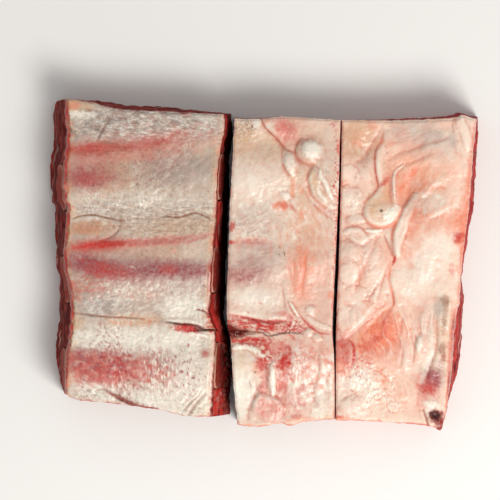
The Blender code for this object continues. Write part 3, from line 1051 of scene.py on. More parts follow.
def grid_faces(first: int, rows: int, columns: int) -> list[tuple[int, int, int, int]]:
    """Make the faces of a grid of points that are numbered row by row.

    Args:
        first: Number of the first point.
        rows: Cells down.
        columns: Cells across.

    Returns:
        The four points of each face.
    """
    wide = columns + 1
    corner = first + np.arange(rows)[:, None] * wide + np.arange(columns)[None, :]
    quads = np.stack((corner, corner + wide, corner + wide + 1, corner + 1), axis=-1)
    return [tuple(quad) for quad in quads.reshape(-1, 4).tolist()]


class Side(Enum):
    """The four cut sides of a slab."""

    BACK = "back"
    RIGHT = "right"
    FRONT = "front"
    LEFT = "left"


@dataclass
class MeshWork:
    """Points, faces and stains of a piece while it is put together."""

    points: list[Array] = field(default_factory=list)
    faces: list[tuple[int, ...]] = field(default_factory=list)
    stains: list[dict[Pigment, Array]] = field(default_factory=list)
    count: int = 0

    def add(self, x: Array, y: Array, z: Array, stains: dict[Pigment, Array] | None = None) -> int:
        """Add points with their stains.

        Args:
            x: X of each point.
            y: Y of each point.
            z: Z of each point.
            stains: How much of each pigment every point takes.

        Returns:
            The number of the first of them.
        """
        first = self.count
        self.points.append(np.stack((x.ravel(), y.ravel(), z.ravel()), axis=1))
        self.stains.append(stains or {})
        self.count += x.size
        return first

    def finish(self, name: str) -> bpy.types.Object:
        """Turn the work into an object whose sharp edges stay sharp.

        Args:
            name: What to call the piece.

        Returns:
            The object, without a finish.
        """
        points = np.concatenate(self.points)
        pigments = {pigment for layer in self.stains for pigment in layer}
        _, kept, number = np.unique(np.round(points, 4), axis=0, return_index=True, return_inverse=True)
        number = number.reshape(-1)
        faces = []
        for face in self.faces:
            corners = [int(number[corner]) for corner in face]
            trimmed = [c for k, c in enumerate(corners) if c != corners[k - 1]]
            if len(set(trimmed)) > 2:
                faces.append(trimmed)
        data = bpy.data.meshes.new(name)
        data.from_pydata((points[kept] * MM).tolist(), [], faces)
        for pigment in sorted(pigments, key=lambda one: one.name):
            blocks = zip(self.stains, self.points)
            parts = [layer.get(pigment, np.zeros(len(block))) for layer, block in blocks]
            attribute = data.attributes.new(pigment.layer, "FLOAT", "POINT")
            attribute.data.foreach_set("value", np.concatenate(parts)[kept].astype(np.float32))
        data.validate()
        data.shade_smooth()
        data.set_sharp_from_angle(angle=math.radians(SHARP_EDGE))
        thing = bpy.data.objects.new(name, data)
        bpy.context.scene.collection.objects.link(thing)
        return thing


@dataclass(frozen=True)
class SlabShape:
    """The form that a slab's meat, bones and cover share."""

    outline: Outline
    cuts: tuple[KnifeCut, ...] = ()
    seed: float = 1.0

    def cells(self, cell: float) -> tuple[int, int]:
        """Columns and rows of a grid of about this cell size, in whole coarse cells."""
        wide = math.dist(self.outline.back[0], self.outline.back[-1])
        deep = math.dist(self.outline.left[0], self.outline.left[-1])
        return COARSE * round(wide / cell / COARSE), COARSE * round(deep / cell / COARSE)

    def plan(self, u: Array, v: Array) -> tuple[Array, Array]:
        """Where grid places lie, seen from above.

        Args:
            u: Share of the way from the left to the right edge.
            v: Share of the way from the back to the front edge.

        Returns:
            X and Y of each place.
        """
        edges = self.outline
        back = curve(edges.back, u)
        front = curve(edges.front, u)
        left = curve(edges.left, v)
        right = curve(edges.right, v)
        corners = (edges.back[0], edges.back[-1], edges.front[0], edges.front[-1])
        shares = ((1 - u) * (1 - v), u * (1 - v), (1 - u) * v, u * v)
        x, y = (
            (1 - v) * back[k] + v * front[k] + (1 - u) * left[k] + u * right[k]
            - sum(share * corner[k] for share, corner in zip(shares, corners))
            for k in (0, 1)
        )
        near_left = edges.ragged[0] * np.exp(-((u * 24.0) ** 2))
        near_right = edges.ragged[1] * np.exp(-(((1 - u) * 24.0) ** 2))
        near_ends = 0.3 * (np.exp(-((v * 60.0) ** 2)) + np.exp(-(((1 - v) * 60.0) ** 2)))
        x = x + near_left * layered(v * 34.0, u * 0, self.seed) - near_right * layered(v * 37.0, u * 0, 4.0)
        y = y + near_ends * layered(u * 21.0, v * 0, self.seed + 2.0)
        return x, y

    def lean(self, u: Array, v: Array, level: Array) -> tuple[Array, Array]:
        """How far points of the cut sides stand outside the top edge.

        Args:
            u: Share from left to right; the side counts where it is exactly 0 or 1.
            v: Share from back to front, likewise.
            level: Height as a share of the slab's.

        Returns:
            How far each point moves along X and along Y.
        """
        out = np.maximum(1.0 - level, 0.0) ** LEAN_POWER - FOOT_TUCK * np.exp(-((level / FOOT_HIGH) ** 2))
        edges = self.outline
        right = np.where(u == 1.0, along(edges.lean_right, v), 0.0)
        left = np.where(u == 0.0, along(edges.lean_left, v), 0.0)
        back = np.where(v == 0.0, along(edges.lean_back, u), 0.0)
        front = np.where(v == 1.0, along(edges.lean_front, u), 0.0)
        return (right - left) * out, (back - front) * out

    def under(self, x: Array, y: Array, u: Array) -> Array:
        """Height of the cover's underside, cuts left out."""
        depth = self.outline.cover[0] + (self.outline.cover[1] - self.outline.cover[0]) * u
        return base_height(x, y) - depth

    def cut_height(self, x: Array, y: Array) -> Array:
        """Find what the cuts leave standing.

        Args:
            x: X of each point.
            y: Y of each point.

        Returns:
            The height left there, or NOTHING_ABOVE where no cut runs.
        """
        height = np.full(np.shape(x), NOTHING_ABOVE)
        for cut in self.cuts:
            height = np.minimum(height, cut.height(x, y))
        return height

    def from_side(self, side: Side, u: Array, v: Array) -> Array:
        """Measure roughly how far points lie from one side.

        Args:
            side: Which one.
            u: Share of the way from the left to the right edge.
            v: Share of the way from the back to the front edge.

        Returns:
            The distance of each point.
        """
        wide = math.dist(self.outline.back[0], self.outline.back[-1])
        deep = math.dist(self.outline.left[0], self.outline.left[-1])
        return {
            Side.LEFT: u * wide,
            Side.RIGHT: (1 - u) * wide,
            Side.BACK: v * deep,
            Side.FRONT: (1 - v) * deep,
        }[side]

    def inward(self, u: Array, v: Array) -> Array:
        """Rough distance from the nearest edge."""
        return np.minimum.reduce([self.from_side(side, u, v) for side in Side])


@dataclass(frozen=True)
class Rim:
    """A ragged stain along one edge of a cover."""

    side: Side
    pigment: Pigment
    strength: float
    wide: float
    ragged: float = 0.7

    def apply(self, sheet: Sheet, far: Array) -> None:
        """Stain the sheet.

        Args:
            sheet: The cover's face.
            far: Distance of each of its points from the edge.
        """
        seed = self.wide * 3.0 + self.pigment.value[1]
        uneven = layered(sheet.across / 6.0, sheet.down / 6.0, seed, 4)
        reach = self.wide * np.clip(1.0 + self.ragged * uneven, 0.1, 3.0)
        sheet.tint(self.pigment, np.arange(far.size), self.strength * smooth((reach - far) / 0.7))


@dataclass
class Piece:
    """One piece of a slab, which stands for one solid."""

    name: str
    node: str  # the solid that it replaces
    slot: str  # the record's material slot
    shape: SlabShape
    finish: WetFinish

    def dress(self, piece: bpy.types.Object) -> None:
        """Give the piece its finish, and let it ride and stand for its solid.

        Args:
            piece: What build has made.
        """
        piece.data.materials.append(self.finish.material(f"{self.name} finish", piece))
        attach(piece, "root")
        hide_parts(self.node)
        log.info("%s: %d faces, in place of %s", self.name, len(piece.data.polygons), self.node)


@dataclass
class Cover(Piece):
    """The pale fat and membrane over one slab, with its relief and its stains."""

    marks: tuple[Mark, ...]
    rims: tuple[Rim, ...]
    rough: float  # height of its fine unevenness
    hollow_tint: float  # juice and painted shade in its hollows
    soak: float  # stain of the meat's juice on its sawn edge; on the middle slab it is also painted shade beside the dark gaps
    swells: float = 0.5  # height of its slow swells
    cell: float = COVER_CELL
    red_rim: float = 0.6  # how far up the fat is red in a cut
    dark_from: float = 6.5  # depth in a cut from which painted shade darkens it
    dark_over: float = 7.0

    def work_face(self, x: Array, y: Array, u: Array, v: Array) -> tuple[Array, Sheet]:
        """Raise and stain the face.

        Args:
            x: X of each grid point.
            y: Y of each grid point.
            u: Share of the way from left to right.
            v: Share of the way from back to front.

        Returns:
            The face's height at each point, and the sheet with its stains.
        """
        sheet = Sheet(x - DATUM[0], DATUM[1] - y)
        seed = self.shape.seed
        a = sheet.across
        b = sheet.down
        sheet.rise += self.swells * grain(a / 11.0, b / 11.0, seed)
        sheet.rise += self.rough * layered(a / 3.1, b / 3.1, seed + 1.0, 2)
        sheet.rise += 0.5 * self.rough * grain(a / 1.15, b / 1.15, seed + 2.0)
        for mark in self.marks:
            mark.apply(sheet)
        sheet.settle(self.hollow_tint)
        for one in self.rims:
            one.apply(sheet, self.shape.from_side(one.side, u, v).ravel())
        base = base_height(x, y)
        height = base + sheet.rise.reshape(x.shape)
        height = height - EDGE_DROP * np.exp(-((self.shape.inward(u, v) / EDGE_ROUND) ** 2))
        cut = self.shape.cut_height(x, y)
        torn = self.redden_cuts(sheet, (self.shape.under(x, y, u) - cut + self.red_rim).ravel())
        return np.minimum(height, cut + torn.reshape(x.shape)), sheet

    def redden_cuts(self, sheet: Sheet, below: Array) -> Array:
        """Show torn meat in the knife cuts, with painted shade darker further down.

        Args:
            sheet: The cover's face.
            below: How far each of its points lies below the fat in a cut.

        Returns:
            How far the torn fibres stand out at each point.
        """
        everywhere = np.arange(below.size)
        fibre = grain(sheet.across / 1.1, sheet.down / 4.0, 2.0)
        fibre = fibre + 0.6 * grain(sheet.across / 0.8, sheet.down / 1.2, 6.0)
        sheet.tint(MEAT, everywhere, 0.9 * smooth(below / 0.8))
        sheet.tint(BLOOD, everywhere, 0.6 * smooth(below / 0.8) * smooth(fibre))
        # Painted shade deep in the cut.
        sheet.tint(DARK, everywhere, 0.85 * smooth((below - self.dark_from) / self.dark_over))
        return np.where(below > 0, 0.45 * fibre, 0.0)

    def build(self) -> bpy.types.Object:
        """Make the cover as one closed mesh: face, sawn edge and plain underside.

        Returns:
            The piece, without its finish.
        """
        columns, rows = self.shape.cells(self.cell)
        u, v = np.meshgrid(np.linspace(0.0, 1.0, columns + 1), np.linspace(0.0, 1.0, rows + 1))
        x, y = self.shape.plan(u, v)
        face, sheet = self.work_face(x, y, u, v)
        floor = np.minimum(self.shape.under(x, y, u), face - CUT_FLOOR_GAP)
        work = MeshWork()
        dx, dy = self.shape.lean(u, v, face / base_height(x, y))
        first = work.add(x + dx, y + dy, face, sheet.stains)
        work.faces += grid_faces(first, rows, columns)
        edge = np.array([j * (columns + 1) + i for i, j in rim(columns, rows)])
        places = tuple(values.ravel()[edge] for values in (u, v, x, y))
        soaked = {pigment: layer[edge] for pigment, layer in sheet.stains.items()}
        ring = self.add_edge(work, first + edge, places, (face.ravel()[edge], floor.ravel()[edge]), soaked)
        self.add_underside(work, ring, floor[::COARSE, ::COARSE])
        return work.finish(self.name)

    def add_edge(
        self, work: MeshWork, ring: Array, places: tuple[Array, ...], heights: tuple[Array, Array],
        stains: dict[Pigment, Array],
    ) -> Array:
        """Add the sawn edge, which the meat's juice soaks from below.

        Args:
            work: The mesh under work.
            ring: Numbers of the face's points once round its edge.
            places: Their shares from left to right and from back to front, and their X and Y in plan.
            heights: Their heights on the face and on the underside.
            stains: Their stains.

        Returns:
            Numbers of the points once round the foot of the edge.
        """
        edge_u, edge_v, edge_x, edge_y = places
        upper, foot = heights
        patchy = grain(edge_x / 4.0, edge_y / 4.0, self.shape.seed + 9.0)
        for row in range(1, COVER_EDGE_ROWS + 1):
            share = row / COVER_EDGE_ROWS
            soaked = stains | {MEAT: np.maximum(stains[MEAT], self.soak * smooth(0.3 + share + patchy))}
            z = upper * (1 - share) + foot * share
            dx, dy = self.shape.lean(edge_u, edge_v, z / base_height(edge_x, edge_y))
            lower = work.add(edge_x + dx, edge_y + dy, z, soaked) + np.arange(len(ring))
            quads = np.stack((ring, np.roll(ring, -1), np.roll(lower, -1), lower), axis=1)
            work.faces += [tuple(quad) for quad in quads.tolist()]
            ring = lower
        return ring

    def add_underside(self, work: MeshWork, ring: Array, floor: Array) -> None:
        """Close the cover with a coarse underside, joined to the fine foot of its edge.

        Args:
            work: The mesh under work.
            ring: Numbers of the points once round the foot of the edge.
            floor: Height of each of the underside's points.
        """
        rows, columns = floor.shape[0] - 1, floor.shape[1] - 1
        inset = UNDERSIDE_INSET / math.dist(self.shape.outline.back[0], self.shape.outline.back[-1])
        across = np.linspace(inset, 1.0 - inset, columns + 1)
        down = np.linspace(inset / 2, 1.0 - inset / 2, rows + 1)
        x, y = self.shape.plan(*np.meshgrid(across, down))
        inner = work.add(x, y, floor)
        work.faces += [face[::-1] for face in grid_faces(inner, rows, columns)]
        below = [inner + j * (columns + 1) + i for i, j in rim(columns, rows)]
        for k, corner in enumerate(below):
            run = [int(ring[(k * COARSE + step) % len(ring)]) for step in range(COARSE + 1)]
            work.faces.append((*run, below[(k + 1) % len(below)], corner))


@dataclass
class Flesh(Piece):
    """The red meat of one slab: open beds for its bones on top, layered cut sides and a flat underside."""

    ribs: int
    marks: dict[Side, tuple[Mark, ...]]
    bulge: float = 0.75  # unevenness of the sides where they lean out
    layers: float = 0.28  # relief of the muscle's layers
    seam_high: float = 9.5  # height of the pale seam between two muscles
    seam_wide: float = 0.75
    top_dark: float = 0.25
    calm: float = 4.0  # a side that leans out this much is fully uneven
    least: float = 0.06  # share of the unevenness of a side that stands straight
    low: float = 0.3  # share of the height where a side's lean is judged
    foot_calm: float = 3.0  # height over which the sides calm down to their foot
    top_calm: float = 2.5  # and up to their top
    cell: float = MEAT_CELL

    def bed(self, x: Array, y: Array, u: Array) -> Array:
        """Find the bottom of the bones' beds.

        Args:
            x: X of each point.
            y: Y of each point.
            u: Share of the way from left to right.

        Returns:
            Its height, or NOTHING_ABOVE where there is no bed.
        """
        floor = np.full(x.shape, NOTHING_ABOVE)
        half = RIB_WIDE / 2 + GAP
        shoulder = self.shape.under(x, y, u) - GAP - ROOF_GAP - RIB_SHOULDER
        for rib in range(self.ribs):
            off = np.abs(y - rib_middle(rib, x)) / half
            belly = shoulder - (RIB_DEEP - RIB_SHOULDER + GAP) * np.clip(1.0 - off**2, 0.0, 1.0) ** BED_ROUND
            floor = np.where(off < 1.0, belly, floor)
        return floor

    def top(self, x: Array, y: Array, u: Array) -> Array:
        """Shape the meat's upper face.

        Args:
            x: X of each point.
            y: Y of each point.
            u: Share of the way from left to right.

        Returns:
            Its height at each point.
        """
        below_cut = self.shape.cut_height(x, y) - CUT_FLOOR_GAP - CUT_BED
        open_face = np.minimum(self.shape.under(x, y, u), below_cut) - GAP
        return np.minimum(open_face, self.bed(x, y, u))

    def side(self, side: Side, columns: int, rows: int) -> tuple[Array, Array, Array, Sheet]:
        """Shape and stain one cut side.

        Args:
            side: Which one.
            columns: Cells of the slab's grid from left to right.
            rows: Cells from back to front.

        Returns:
            X, Y and Z of the side's points, row by row from the top, and its sheet.
        """
        ends_on_y = side in (Side.LEFT, Side.RIGHT)
        share = np.linspace(0.0, 1.0, (rows if ends_on_y else columns) + 1)
        fixed = np.full(share.shape, 1.0 if side in (Side.RIGHT, Side.FRONT) else 0.0)
        u, v = (fixed, share) if ends_on_y else (share, fixed)
        x, y = self.shape.plan(u, v)
        fall = np.linspace(1.0, 0.0, WALL_ROWS + 1)[:, None]
        z = self.top(x, y, u)[None, :] * fall
        base = base_height(x, y)[None, :]
        dx, dy = self.shape.lean(u[None, :], v[None, :], z / base)
        foot_x, foot_y = self.shape.lean(u, v, np.full(u.shape, self.low))
        run = (DATUM[1] - y if ends_on_y else x - DATUM[0])[None, :] + 0.0 * z
        sheet = Sheet(run, z)
        self.texture(sheet, side)
        calm = np.clip(np.maximum(np.abs(foot_x), np.abs(foot_y)) / self.calm, self.least, 1.0)[None, :]
        from_foot = smooth(z / self.foot_calm) * 0.75 + 0.25
        from_top = smooth((z[0][None, :] - z) / self.top_calm) * 0.8 + 0.2
        hold = np.minimum(from_foot, from_top)
        rise = sheet.rise.reshape(z.shape) * calm * hold
        sign = 1.0 if side in (Side.RIGHT, Side.BACK) else -1.0
        at_corner = np.minimum(share, 1.0 - share)[None, :] == 0.0
        rise = np.where(at_corner, 0.0, rise)
        if ends_on_y:
            return x[None, :] + dx + sign * rise, y[None, :] + dy, z, sheet
        return x[None, :] + dx, y[None, :] + dy + sign * rise, z, sheet

    def texture(self, sheet: Sheet, side: Side) -> None:
        """Give a side its muscle layers, a pale seam, veins and its own marks.

        Args:
            sheet: The side.
            side: Which one it is.
        """
        a = sheet.across
        z = sheet.down
        seed = 10.0 * self.shape.seed + len(side.value)  # one pattern for back and left, one for the others
        everywhere = np.arange(a.size)
        bend = 1.6 * grain(a / 21.0, z / 14.0, seed)
        layer = grain(a / 9.0, (z + bend) / 1.5, seed + 1.0)
        fine = grain(a / 3.0, (z + bend) / 0.8, seed + 2.0)
        sheet.rise += self.bulge * layered(a / 8.5, z / 6.0, seed + 3.0, 2)
        sheet.rise += self.layers * (layer + 0.5 * fine)
        patchy = smooth(0.8 + grain(a / 12.0, z / 5.0, seed + 4.0))
        sheet.tint(DARK, everywhere, 0.75 * smooth(-1.5 * layer - 0.1) * patchy)
        sheet.tint(BLOOD, everywhere, 0.55 * smooth(1.6 * fine + 0.2) * smooth(0.5 + layer))
        middle = self.seam_high - 2.0 * bend + 2.0 * grain(a / 30.0, z * 0, seed + 5.0)
        seam = np.exp(-(((z - middle) / self.seam_wide) ** 2))
        gap = smooth(1.3 * grain(a / 11.0, z / 9.0, seed + 6.0) + 0.75)
        sheet.tint(CREAM, everywhere, 0.3 * seam * gap)
        vein = np.exp(-(((grain(a / 17.0, (z + bend) / 7.0, seed + 7.0)) / 0.09) ** 2))
        sheet.tint(ROSE, everywhere, 0.34 * vein)
        for mark in self.marks.get(side, ()):
            mark.apply(sheet)

    def build(self) -> bpy.types.Object:
        """Make the meat as one closed mesh.

        Returns:
            The piece, without its finish.
        """
        columns, rows = self.shape.cells(self.cell)
        u, v = np.meshgrid(np.linspace(0.0, 1.0, columns + 1), np.linspace(0.0, 1.0, rows + 1))
        x, y = self.shape.plan(u, v)
        z = self.top(x, y, u)
        work = MeshWork()
        dx, dy = self.shape.lean(u, v, z / base_height(x, y))
        first = work.add(x + dx, y + dy, z, {DARK: np.full(x.size, self.top_dark)})
        work.faces += grid_faces(first, rows, columns)
        feet: list[int] = []
        for side in (Side.BACK, Side.RIGHT, Side.FRONT, Side.LEFT):
            wall_x, wall_y, wall_z, sheet = self.side(side, columns, rows)
            start = work.add(wall_x, wall_y, wall_z, sheet.stains)
            wide = wall_x.shape[1] - 1
            faces = grid_faces(start, WALL_ROWS, wide)
            turned = side in (Side.BACK, Side.RIGHT)
            work.faces += [face[::-1] for face in faces] if turned else faces
            last = start + WALL_ROWS * (wide + 1) + np.arange(wide + 1)
            feet += [int(k) for k in (last if turned else last[::-1])][:-1]
        work.faces.append(tuple(feet))
        return work.finish(self.name)


@dataclass
class Rib(Piece):
    """One length of rib bone with a flat roof, whose sawn ends lie in the slab's cut sides."""

    rib: int  # its number in the slab, from the back
    corners: int = 44
    stations: int = 30
    proud: float = 0.1  # of the cut side
    rings: tuple[float, ...] = (0.96, 0.91, 0.86, 0.78, 0.68, 0.56, 0.43, 0.3, 0.17, 0.06)
    centre: float = 0.32  # depth of its middle below its widest place, as a share of its depth
    cortex: float = 0.88  # share of the section inside the hard wall
    sunk: float = 0.2  # how far the marrow lies behind the hard wall

    def end_x(self, y: Array, z: Array, right: bool) -> Array:
        """Find where a cut side stands.

        Args:
            y: Y of each point.
            z: Z of each point.
            right: Whether it is the right side.

        Returns:
            X of the bone's end there, just proud of the side.
        """
        v = np.linspace(0.0, 1.0, EDGE_SAMPLES)
        u = np.full(v.shape, 1.0 if right else 0.0)
        edge_x, edge_y = self.shape.plan(u, v)
        at = np.interp(-y, -edge_y, v)
        x = np.interp(-y, -edge_y, edge_x)
        dx, _ = self.shape.lean(np.full(at.shape, u[0]), at, z / base_height(x, y))
        return x + dx + (self.proud if right else -self.proud)

    def section(self, x: float, u: float, scale: float) -> tuple[Array, Array]:
        """Draw the bone's outline.

        Args:
            x: Where along the bone.
            u: The same, as a share of the slab's width.
            scale: Size of the outline about its middle.

        Returns:
            Y and Z of its corners.
        """
        turn = np.linspace(0.0, 2.0 * math.pi, self.corners, endpoint=False)
        middle = float(rib_middle(self.rib, np.array(x)))
        y = middle + RIB_WIDE / 2 * np.cos(turn)
        shoulder = self.shape.under(np.full(y.shape, x), y, u) - GAP - ROOF_GAP - RIB_SHOULDER
        roof = RIB_SHOULDER * (1.0 - np.abs(np.cos(turn)) ** 6)
        belly = (RIB_DEEP - RIB_SHOULDER) * np.abs(np.sin(turn)) ** 0.8
        z = shoulder + np.where(turn <= math.pi, roof, -belly)
        centre = float(np.mean(shoulder)) - self.centre * RIB_DEEP
        return middle + (y - middle) * scale, centre + (z - centre) * scale

    def end_stains(self, y: Array, z: Array, scale: float) -> dict[Pigment, Array]:
        """Stain the hard wall and the porous marrow inside it.

        Args:
            y: Y of each point.
            z: Z of each point.
            scale: Size of the ring that they lie on, as a share of the section.

        Returns:
            How much of each pigment every point takes.
        """
        inside = smooth((self.cortex + 0.03 * grain(y / 2.0, z / 2.0, 4.0) - scale) / 0.05)
        pores = smooth(0.5 + 1.3 * grain(y / 1.1, z / 1.1, 7.0 + self.rib))
        return {
            ROSE: 0.1 * (1.0 - inside),
            BROWN: inside * (0.1 + 0.2 * pores),
            DARK: np.full(y.shape, 0.12),
            MEAT: 0.68 + inside * (0.1 + 0.18 * pores),
            BLOOD: 0.4 + inside * (0.1 - 0.2 * pores),
        }

    def build(self) -> bpy.types.Object:
        """Make the bone as one closed mesh with detailed ends.

        Returns:
            The piece, without its finish.
        """
        left_x = self.shape.outline.left[0][0]
        right_x = self.shape.outline.right[0][0]
        work = MeshWork()
        loops: list[Array] = []
        starts = [(share, 1.0, False) for share in np.linspace(0.0, 1.0, self.stations + 1)]
        front = [(0.0, scale, True) for scale in self.rings[::-1]]
        back = [(1.0, scale, True) for scale in self.rings]
        for share, scale, is_end in [*front, *starts, *back]:
            x = left_x + (right_x - left_x) * share
            y, z = self.section(x, share, scale)
            low = self.end_x(y, z, False)
            high = self.end_x(y, z, True)
            along_x = low + (high - low) * share
            stains = {ROSE: 0.25 + 0.2 * grain(along_x / 9.0, y / 3.0, 2.0)}
            if is_end:
                dip = self.sunk * float(smooth(np.array((self.cortex - scale) / 0.06)))
                rough = 0.3 * grain(y / 1.4, z / 1.4, 5.0) * (1.0 if scale < self.cortex else 0.2)
                along_x = along_x + (dip + rough * 0.5) * (1.0 if share == 0.0 else -1.0)
                stains = self.end_stains(y, z, scale)
            loops.append(work.add(along_x, y, z, stains) + np.arange(self.corners))
        for loop, following in zip(loops, loops[1:]):
            quads = np.stack((loop, np.roll(loop, -1), np.roll(following, -1), following), axis=1)
            work.faces += [tuple(quad) for quad in quads.tolist()]
        work.faces.append(tuple(int(k) for k in loops[0][::-1]))
        work.faces.append(tuple(int(k) for k in loops[-1]))
        return work.finish(self.name)


def stain(
    pigment: Pigment, strength: float, at: Point, size: Point, turn: float = 0.0, soft: float = 0.45
) -> Stain:
    """A stain of a pigment: how strong, where, how large and how turned."""
    return Stain(at, size, turn, ragged=0.4, soft=soft, pigment=pigment, strength=strength)


def streak(pigment: Pigment, strength: float, wide: float, *path: Point) -> Streak:
    """A stained line through some points."""
    return Streak(path, wide, pigment=pigment, strength=strength)


def crease(deep: float, wide: float, strength: float, *path: Point, pigment: Pigment = CREVICE) -> Crease:
    """A furrow through some points, with its tint in its bottom, partly painted shade."""
    return Crease(path, wide, ragged=0.25, deep=deep, pigment=pigment, strength=strength)


def fold(high: float, wide: float, *path: Point, groove: float = 0.25, crown: float = 0.0) -> Fold:
    """A rounded ridge through some points, with its crown whitened."""
    return Fold(path, wide, ragged=0.2, high=high, groove=groove, strength=crown)


def lap(
    high: float, fall: float, strength: float, *path: Point, pigment: Pigment = CREVICE, crown: float = 0.2
) -> Lap:
    """A fold that laps over what lies left of its path: how high, how far it falls back and how strongly its
    crease is tinted, partly with painted shade.
    """
    return Lap(path, 0.42, 0.2, 0.4, high=high, fall=fall, pigment=pigment, strength=strength, crown=crown)


def mottle(
    pigment: Pigment, strength: float, cell: float, level: float, at: Point, size: Point,
    turn: float = 0.0, stretch: float = 1.0,
) -> Mottle:
    """Uneven patches of a pigment.

    Args:
        pigment: What stains them.
        strength: How strongly.
        cell: Size of one patch.
        level: How rare the patches are, from -1 to 1.
        at: Middle of the place they cover.
        size: Half its length and half its width.
        turn: How it is turned.
        stretch: How much longer a patch is than wide.

    Returns:
        The mark.
    """
    return Mottle(at, size, turn, 0.35, 0.5, cell, stretch, level, pigment, strength)


def lobe(
    high: float, at: Point, size: Point, turn: float = 0.0, groove: float = 0.35, crown: float = 0.2
) -> Lobe:
    """A rounded lobe: how high, where, how large, how turned, how deeply grooved and how pale."""
    return Lobe(at, size, turn, ragged=0.14, soft=0.3, high=high, groove=groove, strength=crown)


def swell(high: float, at: Point, size: Point, turn: float = 0.0) -> Swell:
    """A soft rise or dip: how high, where, how large and how turned."""
    return Swell(at, size, turn, ragged=0.12, high=high)


def crepe(
    at: Point, size: Point, turn: float, spacing: float, high: float, pale: float, dull: float
) -> Drape:
    """Fine dry wrinkles of membrane.

    Args:
        at: Middle of the patch.
        size: Half its length and half its width.
        turn: How it is turned.
        spacing: From one wrinkle to the next.
        high: Height of the wrinkles.
        pale: How pale their crests are.
        dull: How grey it is in between.

    Returns:
        The mark.
    """
    return Drape(at, size, turn, 0.3, 0.6, spacing, high, stretch=3.2, strength=pale, hollow_tint=dull, valley=GREY)


def stains(pigment: Pigment, *rows: Row) -> tuple[Stain, ...]:
    """Stains of one pigment, with what stain takes after it in each row."""
    return tuple(stain(pigment, *row) for row in rows)


def mottles(pigment: Pigment, *rows: Row) -> tuple[Mottle, ...]:
    """Mottles of one pigment, with what mottle takes after it in each row."""
    return tuple(mottle(pigment, *row) for row in rows)


def streaks(pigment: Pigment, *rows: Row) -> tuple[Streak, ...]:
    """Streaks of one pigment, with what streak takes after it in each row."""
    return tuple(streak(pigment, *row) for row in rows)


def crepes(*rows: Row) -> tuple[Drape, ...]:
    """Patches of fine wrinkles, with what crepe takes in each row."""
    return tuple(crepe(*row) for row in rows)


def lobes(*rows: Row) -> tuple[Lobe, ...]:
    """Rounded lobes, with what lobe takes in each row."""
    return tuple(lobe(*row) for row in rows)


LEFT_CUT = KnifeCut(mouth=((-17.0, -30.2), (-17.0, -35.0)), floor=22.0, tip=(-45.0, -33.0, 35.0))
MIDDLE_CUT = KnifeCut(mouth=((-24.0, -25.5), (-24.0, -41.0)), floor=19.0, tip=(10.0, -34.0, 36.0))

# Darker than the other fats: partly its own greyer tone and partly painted shade, as the light falls off
# towards the back left.
LEFT_FAT = FatFinish(
    colour=(210, 193, 177), second=(190, 160, 142), drift=0.6, drift_scale=80.0, fleck=0.26,
    grain_high=0.00016, wet=0.28, dry=0.5,
)
MIDDLE_FAT = FatFinish(
    colour=(232, 207, 188), second=(232, 190, 168), drift=0.6, drift_scale=90.0, fleck=0.14,
    grain_high=0.00010, wet=0.27, dry=0.45,
)
RIGHT_FAT = FatFinish(
    colour=(246, 220, 200), second=(240, 190, 166), drift=0.65, drift_scale=80.0, fleck=0.12,
    grain_high=0.00008, wet=0.27, dry=0.45, depth=0.18,
)
DEEP_MEAT = MeatFinish(colour=(118, 32, 26), second=(80, 20, 18), drift=0.8)
SHADED_MEAT = MeatFinish(colour=(118, 32, 26), second=(80, 20, 18), drift=0.8, shine=0.0)
BRIGHT_MEAT = MeatFinish(colour=(170, 58, 58), second=(118, 30, 34), drift=0.8)
BONE = BoneFinish(colour=(206, 168, 142), second=(176, 118, 100), drift=0.6, drift_scale=160.0)

LEFT_RIMS = (
    Rim(Side.LEFT, YELLOW, 0.50, 4.0, 1.0),
    Rim(Side.LEFT, ORANGE, 0.50, 2.0, 1.6),
    Rim(Side.LEFT, BROWN, 0.70, 1.1, 1.8),
    Rim(Side.LEFT, BLOOD, 0.75, 0.7, 2.4),
    Rim(Side.LEFT, MEAT, 0.60, 0.5, 2.4),
    Rim(Side.RIGHT, YELLOW, 0.30, 5.0, 0.8),
    Rim(Side.RIGHT, ORANGE, 0.30, 1.4, 2.0),
    Rim(Side.RIGHT, BLOOD, 0.50, 0.3, 2.6),
    Rim(Side.BACK, MEAT, 0.75, 0.5, 1.8),
    Rim(Side.FRONT, BLOOD, 0.60, 0.6, 2.4),
)
MIDDLE_RIMS = (
    Rim(Side.LEFT, BLOOD, 0.50, 0.4, 2.4),
    Rim(Side.RIGHT, ROSE, 0.55, 0.9, 1.8),
    Rim(Side.RIGHT, BLOOD, 0.55, 0.4, 2.4),
    Rim(Side.FRONT, ORANGE, 0.50, 1.2, 1.6),
    Rim(Side.FRONT, BLOOD, 0.60, 0.6, 2.0),
)
RIGHT_RIMS = (
    Rim(Side.LEFT, ROSE, 0.55, 0.8, 1.8),
    Rim(Side.LEFT, BLOOD, 0.55, 0.35, 2.4),
    Rim(Side.RIGHT, ORANGE, 0.30, 2.0, 1.4),
    Rim(Side.RIGHT, ROSE, 0.40, 0.7, 1.8),
    Rim(Side.FRONT, ORANGE, 0.60, 1.4, 1.4),
    Rim(Side.FRONT, BLOOD, 0.55, 0.6, 2.0),
)
